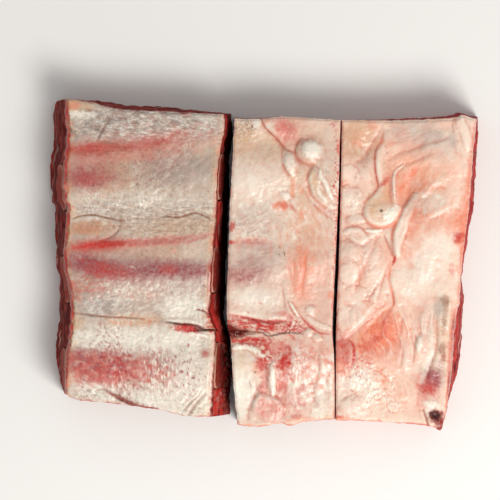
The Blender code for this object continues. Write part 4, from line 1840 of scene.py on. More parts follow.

# The grey stains towards the back and the cream ones towards the front are partly the fat's own tone and
# partly painted shade and light, as the slab darkens towards its back left.
LEFT_TONES: tuple[Mark, ...] = (
    *stains(
        GREY, (0.22, (65, 129), (9, 5), 0, 0.6), (0.45, (74, 62), (44, 10), 0, 0.6),
        (0.4, (86, 84), (22, 9), -8, 0.6), (0.45, (47, 152), (13, 6), 0, 0.6),
        (0.3, (94, 143), (16, 6), 0, 0.6), (0.34, (78, 98), (34, 5), 0, 0.6),
    ),
    *stains(
        CREAM, (0.26, (97, 129), (10, 5), 0, 0.6), (0.2, (74, 98.5), (38, 3.6), 0, 0.6),
        (0.7, (68, 170), (34, 6), 0, 0.5), (0.6, (92, 154), (12, 6), 0, 0.5),
        (0.55, (84, 201), (26, 8), 0, 0.4), (0.5, (97, 186), (12, 16), 0, 0.5),
    ),
    *stains(
        YELLOW, (0.34, (92, 75), (18, 8), 0, 0.7), (0.45, (62, 86), (20, 10), 0, 0.7),
        (0.45, (88, 113), (22, 5), 0, 0.6), (0.24, (84, 126), (26, 4.6), 0, 0.6),
        (0.3, (74, 98), (38, 6), 0, 0.6),
    ),
    stain(BRUISE, 0.16, (80, 83), (20, 8), -8, 0.6),
    *stains(ROSE, (0.14, (66, 127), (36, 5), -2, 0.6), (0.1, (76, 145), (26, 6), 0, 0.6)),
    stain(BROWN, 0.24, (84, 112), (26, 6), 0, 0.6),
    *mottles(
        SLATE, (0.5, 3.0, 0.0, (48, 63), (14, 6.5), -6, 1.6), (0.45, 2.6, 0.0, (80, 60), (18, 5.5), 4, 1.8),
        (0.3, 2.2, 0.1, (48, 152), (14, 7), 0, 1.8), (0.5, 0.7, 0.25, (74, 61), (42, 8), -2, 6.0),
        (0.34, 0.7, 0.25, (76, 109), (36, 7), 0, 6.0), (0.3, 0.7, 0.25, (56, 151), (20, 7), -10, 6.0),
    ),
    *mottles(
        BROWN, (0.4, 1.6, 0.1, (70, 62), (40, 8), 0, 3.0), (0.4, 0.7, 0.35, (72, 110), (36, 48), 0, 3.0),
        (0.16, 3.2, 0.1, (66, 88), (38, 36), 0, 2.4),
    ),
    mottle(ROSE, 0.3, 3.0, 0.1, (84, 64), (24, 7), 0, 2.0),
    mottle(GREY, 0.4, 1.6, -0.1, (70, 104), (38, 6), 0, 4.0),
    *mottles(
        CREAM, (0.45, 1.4, 0.1, (74, 106), (38, 7), 0, 3.4), (0.45, 1.3, 0.1, (70, 148), (36, 9), -24, 3.0),
        (0.7, 0.9, 0.15, (74, 62), (42, 8), 0, 4.0),
    ),
)

LEFT_WRINKLES: tuple[Mark, ...] = (
    *crepes(
        ((62, 60), (24, 8), -4, 1.25, 0.36, 0.6, 0.65), ((92, 61), (20, 8), 14, 1.35, 0.36, 0.6, 0.6),
        ((84, 84), (20, 8), -50, 1.2, 0.22, 0.5, 0.5), ((46, 97), (12, 4), 86, 1.1, 0.26, 0.7, 0.5),
        ((70, 98), (20, 4), 80, 1.2, 0.2, 0.6, 0.5), ((58, 105), (24, 5), 4, 1.2, 0.24, 0.6, 0.45),
        ((90, 106), (18, 6), -8, 1.2, 0.3, 0.6, 0.45), ((76, 114), (24, 5), 6, 1.4, 0.26, 0.5, 0.45),
        ((98, 115), (10, 5), -16, 1.4, 0.24, 0.5, 0.4), ((58, 146), (16, 8), -30, 1.5, 0.36, 0.6, 0.45),
        ((88, 146), (18, 7), 70, 1.4, 0.2, 0.6, 0.3), ((90, 155), (14, 5), -12, 1.5, 0.34, 0.6, 0.3),
        ((66, 160), (12, 3), 88, 1.1, 0.24, 0.5, 0.2), ((62, 170), (28, 6), 4, 1.5, 0.36, 0.6, 0.35),
        ((98, 173), (11, 7), -12, 1.5, 0.34, 0.6, 0.3), ((84, 201), (22, 8), 30, 1.7, 0.42, 0.6, 0.35),
        ((44, 198), (11, 6), 44, 1.2, 0.34, 0.7, 0.6), ((102, 198), (8, 12), -52, 1.6, 0.42, 0.5, 0.35),
    ),
)

LEFT_BACK: tuple[Mark, ...] = (
    *stains(YELLOW, (0.65, (39, 53.0), (7, 4.0)), (0.55, (46.0, 113.8), (11, 3.8))),
    *stains(ORANGE, (0.5, (36.6, 52.6), (3.2, 2.4)), (0.34, (43.5, 114), (8, 2.8))),
    *stains(
        BROWN, (0.6, (44.4, 55.1), (1.6, 0.8)), (0.4, (50, 74.0), (18, 3.0), -3, 0.8),
        (0.85, (68.6, 92.3), (0.6, 0.5)), (0.5, (57, 98.6), (0.7, 0.6)), (0.4, (47.6, 101.3), (2.4, 1.2)),
        (0.6, (61, 110.4), (1.5, 1.3)), (0.34, (45.0, 113.8), (10, 3.2)),
    ),
    stain(CREAM, 0.75, (40, 57.2), (7, 2)),
    *stains(
        BRUISE, (0.24, (58.6, 57.5), (4, 1.6)), (0.34, (44, 86.4), (13, 8.0), 0, 0.9),
        (0.5, (41.6, 89.4), (9.5, 4.6), 6, 0.8),
    ),
    *stains(
        BLOOD, (0.5, (44, 74.2), (11, 3.2), -3, 0.8), (0.16, (79, 70.6), (14, 3.4), -16, 0.8),
        (0.34, (43.6, 89.4), (7.5, 3.6), 0, 0.8),
    ),
    *stains(ROSE, (0.5, (66, 74.0), (36, 6.4), -7, 0.7), (0.34, (45, 87.4), (14, 7.0), 0, 0.9)),
    mottle(MEAT, 0.3, 1.4, -0.1, (60, 73.0), (28, 3.2), -6, 4.0),
    *mottles(
        BRUISE, (0.3, 1.6, -0.2, (50, 89.8), (12, 3.2), 0, 3.0),
        (0.3, 0.9, 0.1, (82, 83), (18, 7), -46, 7.0),
    ),
    mottle(SLATE, 0.26, 0.9, 0.1, (90, 86), (14, 7), -46, 7.0),
    mottle(ORANGE, 0.34, 1.6, 0.2, (50, 113.6), (13, 3.4), 0, 2.0),
    streak(
        BLOOD, 0.3, 2.0, (34, 74.8), (45.4, 73.6), (55, 73.8), (64.5, 73.2), (75.2, 71.6), (83.5, 69.4),
        (95, 64.6),
    ),
    crease(0.5, 0.6, 0.55, (54, 60.5), (51.4, 64), (49.6, 67.6), (48, 70.4), pigment=BROWN),
    crease(
        0.45, 0.5, 0.9, (35.3, 109.6), (39.6, 108.0), (46, 107.4), (54, 109.0), (61, 110.2), pigment=BROWN,
    ),
    crease(
        0.45, 0.5, 0.9, (82, 107.9), (88, 108.6), (93, 107.6), (97.4, 106.4), (101.4, 107.6), (106.4, 110.2),
        pigment=BROWN,
    ),
    crease(0.3, 0.5, 0.5, (61, 110.2), (68, 109.0), (75, 109.6), (82, 107.9), pigment=GREY),
    crease(0.3, 0.5, 0.5, (37, 104), (44.5, 103.4), (51, 103.4), pigment=GREY),
    crease(
        0.4, 0.8, 0.5, (60.6, 111.4), (59.4, 114.0), (57.0, 117.2), (52.6, 119.6), (47, 121.0),
        pigment=BROWN,
    ),
)

LEFT_MIDDLE: tuple[Mark, ...] = (
    stain(ROSE, 0.3, (52, 122.4), (18, 3.4), -3, 0.8),
    *stains(
        BLOOD, (0.6, (48.6, 122.6), (14, 3.0), -4, 0.8), (0.45, (73, 120.8), (0.5, 1.6), 20),
        (0.4, (55, 135.4), (11, 3.4), 8, 0.8), (0.42, (84, 134.6), (4.0, 2.6), 0, 0.6),
        (0.95, (93.6, 164.2), (6.6, 2.2), 5),
    ),
    *stains(
        BROWN, (0.4, (47, 123.0), (13, 3.4), -5, 0.8), (0.36, (44, 142), (11, 6), -16, 0.7),
        (0.6, (101.9, 143), (0.7, 0.7)),
    ),
    stain(ORANGE, 0.7, (87, 125.4), (0.9, 0.8)),
    *stains(
        BRUISE, (0.62, (40, 130.8), (10, 4.2), 8, 0.8), (0.6, (53, 134.6), (15, 4.6), 12, 0.8),
        (0.62, (77, 134.8), (11, 4.4), 0, 0.8), (0.66, (95, 135.0), (13, 4.4), 0, 0.8),
        (0.34, (68, 135.0), (34, 5.0), 0, 0.8), (0.45, (37.6, 146.6), (2.2, 3.0)),
    ),
    stain(CREAM, 0.7, (53.6, 140.5), (1.6, 3)),
    *stains(YELLOW, (0.4, (66, 160.2), (13, 3.4)), (0.45, (38.7, 161.7), (3, 3.5))),
    # Painted shade at the right end of the deep crease between the two pale folds.
    stain(DARK, 0.75, (99.7, 164.6), (3.0, 0.8), 8),
    *mottles(
        BLOOD, (0.34, 1.5, -0.2, (48, 133.6), (14, 4.0), 12, 4.0),
        (0.4, 2.2, -0.2, (44, 142.4), (11, 6.4), -20, 2.0),
        (0.95, 1.2, -0.2, (106.2, 160.4), (3.0, 6.4), 0, 1.4),
    ),
    *mottles(
        BRUISE, (0.34, 1.4, 0.0, (48, 132.4), (14, 4.4), 10, 5.0),
        (0.4, 1.3, 0.0, (86, 135.0), (20, 3.6), 0, 4.0),
    ),
    *mottles(
        ORANGE, (0.55, 1.8, 0.1, (43, 141.6), (7, 4.6), -20, 1.5),
        (0.34, 1.6, 0.1, (67.6, 147.7), (9, 2.4), 4, 3.0), (0.5, 1.3, 0.0, (66, 160.6), (13, 3.6), 0, 1.5),
    ),
    mottle(ROSE, 0.6, 1.0, 0.1, (105.4, 160.4), (3.0, 6.4), 0, 1.4),
    streak(BLOOD, 0.8, 1.7, (35.3, 124.0), (44.2, 122.9), (51.4, 122.2), (62.5, 121.8)),
    streak(ROSE, 0.6, 2.2, (56, 121.6), (71.6, 121.2), (83.5, 120.2), (95.4, 119.4), (106.6, 116.6)),
    streak(MEAT, 0.3, 1.5, (52, 122.0), (71.6, 121.2), (83.5, 120.4), (95.4, 119.6), (107, 117)),
    *streaks(
        CREAM, (0.8, 0.45, (62.6, 134.6), (64.6, 133.4), (67.0, 134.0), (68.4, 136.0)),
        (0.6, 0.4, (63.6, 136.6), (65.4, 135.2), (67.2, 136.6)),
    ),
    streak(BROWN, 0.45, 0.6, (91.8, 137), (92, 141)),
    crease(0.4, 0.5, 0.75, (36, 156.3), (44, 157.4), (53.8, 158.4), (64, 158.8), (73, 159.6), pigment=BROWN),
    fold(0.7, 1.1, (83.7, 160.0), (89.2, 160.4), (95.5, 160.8), (101, 162.2), groove=0.1, crown=0.7),
    # Painted shade in the deep crease between the two pale folds.
    crease(
        0.9, 0.5, 0.9, (82.3, 161), (86.0, 161.4), (90.0, 162.1), (95.5, 162.4), (102, 164.0), pigment=DARK,
    ),
    fold(0.8, 1.0, (93.5, 166.6), (97.6, 166.9), (103.5, 168.0), groove=0.1, crown=0.8),
    crease(0.7, 0.5, 0.9, (97.8, 154.5), (102.6, 155.9), (105.2, 159.3), pigment=MEAT),
    # Painted shadows in the valleys of these hanging folds.
    Drape((99, 158.4), (5, 3.6), 88, 0.3, 0.5, spacing=1.7, high=0.7, stretch=3.0, strength=0.5, hollow_tint=0.3),
)

LEFT_FRONT: tuple[Mark, ...] = (
    *stains(BLOOD, (0.55, (102.6, 177.0), (2.0, 1.8)), (0.45, (86.4, 187.1), (1.5, 1.2))),
    stain(BROWN, 0.3, (102.6, 177.0), (2.6, 2.2)),
    *stains(BRUISE, (0.7, (61.5, 177.1), (0.9, 0.7)), (0.4, (39.7, 177.0), (4, 2))),
    stain(ROSE, 0.55, (56, 184.6), (24, 8), 0, 0.4),
    stain(MEAT, 0.75, (75.4, 204.6), (3.4, 1.0)),
    stain(YELLOW, 0.35, (101, 203), (5, 6)),
    *mottles(
        BLOOD, (0.4, 3.0, -0.4, (48, 184.5), (18, 8.6), 8, 1.6),
        (0.36, 2.2, -0.2, (66, 184), (17, 8.4), 20, 1.6), (0.75, 1.1, 0.25, (80, 185), (10, 8.0), 80, 1.8),
        (0.6, 0.9, 0.35, (90, 191), (14, 7.0), 60, 1.4),
    ),
    *mottles(
        BRUISE, (0.62, 2.4, -0.3, (50, 182), (20, 7.6), 8, 1.8),
        (0.5, 1.3, 0.1, (58, 184), (24, 8.0), 80, 1.6), (0.5, 1.6, 0.0, (78, 185), (14, 8.0), 78, 1.8),
        (0.8, 1.2, 0.2, (93, 186.6), (11, 7.6), 76, 1.8),
    ),
    mottle(MEAT, 0.55, 1.3, 0.2, (60, 184), (26, 8.0), 60, 1.6),
    *mottles(
        CREAM, (0.8, 0.9, 0.1, (60, 188), (26, 6.0), 84, 3.4),
        (0.85, 0.9, -0.05, (80, 188), (14, 9.0), 84, 3.4),
        (0.85, 1.4, -0.2, (50, 195.6), (14, 3.6), 14, 3.0),
    ),
    mottle(BROWN, 0.4, 1.0, 0.3, (88, 198), (18, 6), 40, 3.0),
    streak(BLOOD, 0.8, 0.5, (94.0, 171.6), (94.3, 173.6)),
    streak(CREAM, 0.85, 0.8, (77.0, 178.6), (77.0, 186), (77.7, 193.2)),
    streak(GREY, 0.6, 0.6, (39.4, 192.6), (44.5, 195.9), (50.2, 199)),
    streak(BROWN, 0.55, 1.4, (51.2, 193.8), (59, 198.6), (68.8, 203.4), (77, 205)),
    streak(MEAT, 0.8, 0.9, (52.6, 195.4), (61, 199.9), (69.2, 203.2), (77.4, 204.4)),
    # Painted shade in the crease under the lap.
    streak(DARK, 0.4, 0.5, (57, 198.4), (63, 201.4), (69, 203.6)),
    lap(0.9, 4.0, 0.3, (52.0, 194.0), (60.4, 198.2), (68.8, 201.6), (77.4, 203.0), crown=0.4, pigment=GREY),
    crease(0.8, 0.8, 0.45, (103.1, 196.2), (97.7, 202.3), (93.4, 208.7), pigment=BROWN),
    crease(0.5, 0.6, 0.45, (100, 197.5), (94.5, 202), (91.4, 205.6), pigment=BROWN),
)

LEFT_MARKS = LEFT_TONES + LEFT_WRINKLES + LEFT_BACK + LEFT_MIDDLE + LEFT_FRONT

MIDDLE_TONES: tuple[Mark, ...] = (
    *stains(BROWN, (0.1, (155, 75), (7, 7), 0, 0.7), (0.16, (128, 75), (11, 5))),
    stain(CREVICE, 0.2, (155, 75), (7, 7), 0, 0.7),
    *stains(
        ORANGE, (0.45, (151, 138), (4.0, 13), 4, 0.7), (0.16, (152, 112), (9, 12)),
        (0.3, (150, 137), (7, 14)), (0.18, (160, 130), (7, 18)), (0.24, (158, 182), (9, 12)),
    ),
    *stains(
        ROSE, (0.2, (146, 60), (10, 7), 0, 0.7), (0.22, (147, 194), (9, 13), 0, 0.6),
        (0.16, (160, 150), (10, 20), 0, 0.7), (0.34, (148, 188), (14, 16)),
    ),
    *stains(
        CREAM, (0.26, (157, 196), (10, 13), 0, 0.6), (0.4, (126, 91), (10, 10)), (0.3, (130, 151), (11, 6)),
        (0.55, (120, 192), (7, 15)),
    ),
    *stains(BRUISE, (0.32, (121, 137), (11, 7.5), -24, 0.6), (0.1, (130, 132), (12, 8))),
    *stains(
        YELLOW, (0.38, (128, 74), (14, 8)), (0.2, (150, 68), (14, 8)), (0.3, (154, 92), (9, 14)),
        (0.26, (153, 118), (9, 14)), (0.3, (119, 182), (5, 6)),
    ),
    *stains(GREY, (0.28, (127, 110), (12, 9)), (0.24, (130, 129), (14, 7))),
    *mottles(
        CREAM, (0.34, 2.4, 0.0, (156, 190), (12, 20), 0, 1.4),
        (0.4, 3.4, 0.1, (146, 100), (22, 50), 80, 1.6),
    ),
    mottle(BLOOD, 0.8, 0.9, 0.05, (168.4, 110), (1.6, 52), 0, 1.2),
    mottle(ORANGE, 0.3, 3.0, 0.1, (157, 120), (9, 42), 84, 2.0),
    mottle(ROSE, 0.16, 2.6, 0.1, (128, 96), (12, 16), 10, 2.0),
)

MIDDLE_BACK: tuple[Mark, ...] = (
    *stains(
        YELLOW, (0.5, (122.6, 65.2), (5.6, 4.8)), (0.45, (120, 70.4), (4.2, 1.2)),
        (0.5, (157.2, 90.6), (2.2, 5.6), -12),
    ),
    *stains(
        CREAM, (0.8, (128.2, 61.6), (2.0, 2.4), 30), (0.4, (135.0, 62.6), (1.2, 2.6), 60),
        (0.85, (155.8, 74.8), (4.3, 3.9)),
    ),
    *stains(
        ROSE, (0.62, (143.2, 66.6), (5.2, 6.4), -20), (0.34, (140, 62), (4.4, 3.4)),
        (0.3, (152.0, 80.2), (2.6, 1.0), 24), (0.4, (169.0, 74.4), (0.8, 2.6)),
        (0.34, (162.6, 105.2), (5.0, 1.5), 34),
    ),
    stain(BRUISE, 0.14, (145.4, 63), (3.6, 2.6)),
    *stains(
        ORANGE, (0.34, (132.8, 60.6), (1.6, 2.2)), (0.85, (140.8, 102.8), (4.8, 2.2), -4),
        (0.35, (151.6, 107.6), (2.6, 2.2)),
    ),
    *stains(
        BLOOD, (0.5, (168.6, 70.3), (0.6, 0.7)), (0.65, (166.8, 93.2), (0.9, 0.8)),
        (0.55, (168.0, 98.4), (0.7, 0.8)), (0.4, (142.4, 102.8), (3.6, 1.4), 10),
    ),
    *stains(
        GREY, (0.3, (158.6, 86), (1.6, 3.4)), (0.4, (163.6, 85.6), (1.6, 1.2)),
        (0.8, (134.8, 102.5), (0.6, 0.5)),
    ),
    stain(BROWN, 0.4, (152.8, 107.2), (0.6, 0.5)),
    mottle(BROWN, 0.55, 1.4, 0.35, (120.6, 65.6), (3.6, 4.4)),
    mottle(ROSE, 0.6, 1.6, 0.25, (166.4, 92.0), (2.6, 6)),
    streak(BROWN, 0.45, 0.4, (146.9, 76.4), (143, 74.6), (138.4, 69.4), (132.7, 63.7), (130.3, 58.8)),
    streak(BLOOD, 0.45, 0.5, (164.6, 62.6), (166, 61.6), (167.3, 62.8), (166, 63.8)),
    *streaks(
        ORANGE, (0.45, 0.9, (163.5, 104.8), (159.8, 102.0), (155.5, 97.7), (153.6, 92), (153.8, 87.5)),
        (0.55, 1.4, (146.4, 88.2), (146.6, 94.0), (146.0, 99.9)), (0.4, 1.1, (149.6, 92.0), (151.4, 97.6)),
    ),
    *lobes(
        (1.5, (155.6, 74.6), (4.9, 4.5), 0, 0.12, 0.9), (1.1, (145.0, 81.4), (2.6, 5.6), -8, 0.2, 0.4),
        (0.6, (143.0, 97.7), (2.8, 1.5), 20, 0.15, 0.7),
    ),
    swell(-1.2, (142, 72), (7, 6), 40),
    swell(1.6, (169, 93), (13, 13)),
    swell(0.8, (128, 64), (8, 6)),
    Crumble(
        (122.8, 64.8), (5.4, 4.8), 0, 0.3, 0.4, cell=1.2, high=0.5, pigment=BROWN, strength=0.85, crown=0.45,
    ),
    lap(1.2, 7.0, 0.9, (146.9, 76.1), (143, 74.4), (138.4, 69.3), (132.7, 63.6), (130.3, 58.8), crown=0.1),
    swell(1.5, (154.8, 75.0), (7.4, 7.0)),
    lap(
        1.2, 5.0, 0.8, (158.6, 81.4), (155.5, 82.3), (152.4, 81.8), (148.9, 79.3), (147.4, 75),
        (149.0, 71.0), (151.8, 68.7), crown=0.15,
    ),
    lap(0.7, 3.4, 0.55, (153.0, 78.3), (150.9, 75), (151.5, 71.4), (154.0, 69.5), (157.0, 69.2), crown=0.1),
    lap(
        1.5, 6.0, 0.75, (168.0, 106.2), (160.8, 102.7), (155.9, 97.7), (153.9, 92), (154.0, 87.2),
        (156.6, 82.6), crown=0.1,
    ),
    fold(
        0.7, 1.3, (160.4, 84.4), (160.2, 88.2), (162.4, 91.0), (164.2, 95.4), (166.0, 99.6), groove=0.15,
        crown=0.75,
    ),
    fold(0.5, 1.2, (158.6, 93.6), (160.0, 97.2), (163.6, 100.6), groove=0.12, crown=0.6),
    lap(
        0.8, 4.0, 0.6, (167.0, 110.0), (163.0, 107.6), (158.6, 103.8), (154.6, 99.4), (151.6, 94.4),
        crown=0.25,
    ),
    lap(0.6, 3.0, 0.65, (145.4, 88.4), (142.4, 84.4), (141.0, 79.4), (141.3, 73.2), crown=0.2),
    lap(0.6, 2.6, 0.55, (147.4, 75.8), (149.0, 81.0), (148.0, 86.4), crown=0.2),
    lap(0.7, 3.0, 0.6, (148.0, 105.6), (145.6, 102.6), (144.2, 99.2), crown=0.3),
    Drape((126, 76), (11, 10), -30, 0.3, 0.6, spacing=2.0, high=0.1, stretch=4.0, strength=0.3, hollow_tint=0.08),
    Drape(
        (127, 96), (11, 10), -34, 0.3, 0.6, spacing=2.2, high=0.14, stretch=3.5, strength=0.35, hollow_tint=0.08,
    ),
    Drape(
        (127, 112), (12, 9), -34, 0.3, 0.6, spacing=1.7, high=0.24, stretch=3.0, strength=0.55, hollow_tint=0.14,
    ),
    Drape((152, 112), (9, 14), 70, 0.3, 0.6, spacing=2.6, high=0.18, stretch=3.0, strength=0.35, hollow_tint=0.14),
)

MIDDLE_MIDDLE: tuple[Mark, ...] = (
    *stains(
        BLOOD, (0.8, (116.0, 113.2), (1.4, 2.6), 20), (0.8, (115.4, 121.0), (1.8, 1.0)),
        (0.4, (130.4, 151.7), (0.6, 0.5)), (0.4, (124, 156.2), (0.6, 0.5)),
        (0.5, (166.6, 134.1), (0.8, 1.2)),
    ),
    stain(BROWN, 0.5, (139.6, 123.6), (0.9, 0.5), 30),
    *stains(ORANGE, (0.5, (151.4, 127.6), (2.6, 2.4)), (0.5, (165.4, 147.3), (1.6, 2))),
    *stains(
        BRUISE, (0.4, (116.2, 137), (2.4, 3.0)), (0.22, (126, 138), (11, 4.0), -10),
        (0.1, (134, 147), (7, 9)),
    ),
    stain(CREAM, 0.45, (126, 148), (11, 4.6)),
    stain(ROSE, 0.55, (142.2, 157.4), (4.4, 1.6), 10),
    stain(YELLOW, 0.5, (123, 170.2), (2.2, 0.8)),
    mottle(BRUISE, 0.4, 1.7, -0.1, (123.4, 137.6), (9, 4.0), -14, 3.0),
    mottle(ROSE, 0.3, 1.5, 0.1, (126, 152.4), (11, 5)),
    *mottles(
        BLOOD, (0.92, 1.5, -0.5, (129, 162.6), (16, 3.0), 6, 3.0),
        (0.75, 1.7, -0.1, (146, 163.6), (8, 5.0), 10, 1.5),
        (0.92, 1.7, -0.5, (124, 170.2), (11, 2.4), 4, 2.0), (0.85, 1.8, -0.3, (133, 176.4), (3.6, 6.0), -20),
    ),
    streak(ROSE, 0.45, 1.6, (115, 121.5), (120, 120.8), (127, 120.6), (137, 121.4)),
    *streaks(
        BRUISE, (0.24, 2.4, (116, 123), (126, 122.2), (138, 124)),
        (0.36, 1.3, (118.4, 141.2), (122.6, 138.6), (128.4, 136.6)),
    ),
    *streaks(
        BROWN, (0.5, 0.35, (124.2, 115.7), (123.7, 118.3)), (0.8, 0.3, (141.8, 125.2), (142.6, 128.7)),
        (0.5, 0.3, (139.2, 126.4), (140.2, 128.4)),
    ),
    *streaks(
        ORANGE, (0.52, 1.9, (151.4, 126.6), (151.6, 133.0), (150.2, 140.0), (149.2, 147.0)),
        (0.2, 2.4, (145.6, 128.0), (146.6, 138.0), (148.4, 146.0)),
    ),
    streak(BLOOD, 0.75, 0.6, (149.2, 156.4), (152.4, 160.6), (155.9, 163.8), (160, 166.6), (165.7, 167.2)),
    # Painted shade in the narrow slits and gaps here.
    streak(DARK, 0.75, 0.5, (130, 165.6), (134.5, 168.0), (140, 167.0), (145, 166.4), (152, 167.4)),
    streak(MEAT, 0.7, 0.7, (122, 158.6), (128, 160.4), (136, 161.6), (144, 161.0)),
    *lobes(
        (0.8, (155.2, 155.3), (2.2, 2.4), 0, 0.2, 0.45), (0.7, (154.4, 166.4), (2.2, 1.9), 0, 0.2, 0.35),
        (0.7, (158.6, 169.0), (2.2, 1.7), 20, 0.2, 0.35),
    ),
    lap(0.35, 4.0, 0.22, (147.6, 148.6), (147.0, 141.0), (147.4, 133.0), (147.0, 127.0), crown=0.08),
    lap(0.4, 4.0, 0.22, (151.4, 149.6), (151.6, 141.6), (153.0, 134.0), (152.4, 128.0), crown=0.08),
    swell(0.8, (128.8, 148), (14, 8)),
    lap(0.6, 4.0, 0.35, (142.6, 157.4), (142.4, 150), (140.6, 141), crown=0.15),
    crease(0.6, 0.6, 0.65, (143.4, 149.6), (145.4, 154), (147.6, 157.6)),
    fold(1.1, 0.9, (144.6, 151.0), (146.8, 154.6), (149.2, 158.2), groove=0.2, crown=0.85),
    fold(0.6, 1.6, (153.0, 158.4), (158.6, 162.2), (166.4, 164.8), groove=0.12, crown=0.3),
    lap(
        0.8, 5.0, 0.85, (146.8, 160.8), (139, 160.4), (132, 160.8), (124, 159.0), (113.5, 157.2), crown=0.45,
        pigment=BLOOD,
    ),
    fold(1.2, 0.7, (128.6, 164.4), (131.5, 165.8), (134.6, 167.6), groove=0.3, crown=0.85),
    fold(0.9, 0.5, (132.0, 166.6), (135.0, 168.4), (136.8, 171.0), groove=0.3, crown=0.6),
    Crumble(
        (147, 163.8), (7, 4.0), 10, 0.3, 0.4, cell=1.9, high=0.7, pigment=BLOOD, strength=0.7, crown=0.55,
    ),
    Drape((128, 146), (12, 8), -8, 0.3, 0.6, spacing=1.5, high=0.08, stretch=4.0, strength=0.3, hollow_tint=0.04),
    Drape((130, 130), (13, 7), -12, 0.3, 0.6, spacing=1.9, high=0.16, stretch=4.0, strength=0.3, hollow_tint=0.08),
    Drape((158, 132), (7, 20), 78, 0.3, 0.6, spacing=3.0, high=0.22, stretch=3.0, strength=0.3, hollow_tint=0.14),
)

MIDDLE_FRONT: tuple[Mark, ...] = (
    *stains(
        YELLOW, (0.35, (122, 175.2), (5, 1.2), 10), (0.3, (121, 184), (6, 5)),
        (0.5, (163.6, 208.8), (3.6, 1.6)),
    ),
    *stains(
        BLOOD, (0.8, (130.6, 182.0), (2.6, 3.4), -30), (0.66, (142.6, 181.6), (2.8, 4.4), 8),
        (0.6, (131.4, 193.4), (2.0, 3.0), 10), (0.5, (148, 208.4), (3, 1.0)),
        (0.7, (118, 211.4), (1.2, 1.0)),
    ),
    stain(ORANGE, 0.45, (128.2, 184.6), (2.4, 3.0)),
    stain(BROWN, 0.7, (127.6, 186.2), (0.7, 0.6)),
    *stains(
        ROSE, (0.5, (138.5, 173.2), (5.5, 2.8)), (0.6, (142, 189.6), (3.4, 4.4)),
        (0.55, (134.6, 203.6), (7.6, 6.0)), (0.45, (150.4, 205.9), (2.5, 1.2)),
    ),
    *stains(CREAM, (0.7, (119.4, 198.6), (4.4, 11)), (0.6, (159.6, 206.4), (4, 2.6))),
    *mottles(
        BLOOD, (0.85, 2.6, -0.2, (142.4, 180), (4.6, 7.6), 8),
        (0.36, 2.6, 0.2, (150, 196), (13, 14), 84, 1.6),
    ),
    *mottles(
        ROSE, (0.6, 4.2, -0.1, (150, 186), (14, 20), 84, 1.3), (0.6, 2.2, 0.0, (134.6, 203.6), (7.6, 6.4)),
    ),
    mottle(ORANGE, 0.6, 2.4, 0.0, (158, 188), (9, 18), 84, 1.3),
    mottle(CREAM, 0.66, 3.6, 0.0, (156, 188), (12, 20), 80, 1.4),
    streak(BROWN, 0.55, 0.4, (124.6, 190.4), (125.8, 194.6)),
    streak(MEAT, 0.5, 0.6, (133.4, 181.5), (133.4, 188), (133.4, 196)),
    streak(ORANGE, 0.6, 0.7, (142, 210.8), (150, 209.4), (160, 209.6)),
    lobe(1.3, (134.4, 203.6), (7.8, 6.2), 6, 0.25, 0.1),
    fold(
        1.0, 1.7, (115.6, 174.4), (121.0, 172.9), (126.4, 174.4), (131.4, 178.2), (135.4, 181.2),
        groove=0.25, crown=0.85,
    ),
    fold(1.3, 1.8, (136.6, 180.6), (136.2, 189), (136.6, 198), groove=0.25, crown=0.85),
    lap(
        0.9, 5.0, 0.75, (125.4, 206.0), (126.6, 200.6), (129.6, 196.4), (134.0, 197.6), (139.4, 199.4),
        (143.4, 204.6), crown=0.25,
    ),
    lap(0.6, 4.0, 0.5, (124.4, 210.4), (124.6, 204.0), (127.4, 197.6), (129.4, 192.6), crown=0.2),
    lap(0.7, 4.0, 0.45, (148.6, 176), (150, 186), (148.4, 196), (150.4, 204), crown=0.15),
    lap(0.7, 4.0, 0.4, (158.6, 204), (157.2, 194), (159.6, 184), (158.4, 175), crown=0.15),
    lap(0.6, 3.0, 0.4, (164.6, 200), (163.4, 192), (165.0, 184), crown=0.15),
    Drape((152, 190), (13, 17), 60, 0.3, 0.5, spacing=4.6, high=0.44, stretch=1.7, strength=0.3, hollow_tint=0.12),
    Drape((121, 196), (6, 13), 74, 0.3, 0.5, spacing=2.2, high=0.22, stretch=3.0, strength=0.4, hollow_tint=0.1),
    Crumble((147, 182), (8, 9), 80, 0.3, 0.5, cell=2.4, high=0.35, pigment=BLOOD, strength=0.25, crown=0.5),
)

MIDDLE_MARKS = MIDDLE_TONES + MIDDLE_BACK + MIDDLE_MIDDLE + MIDDLE_FRONT

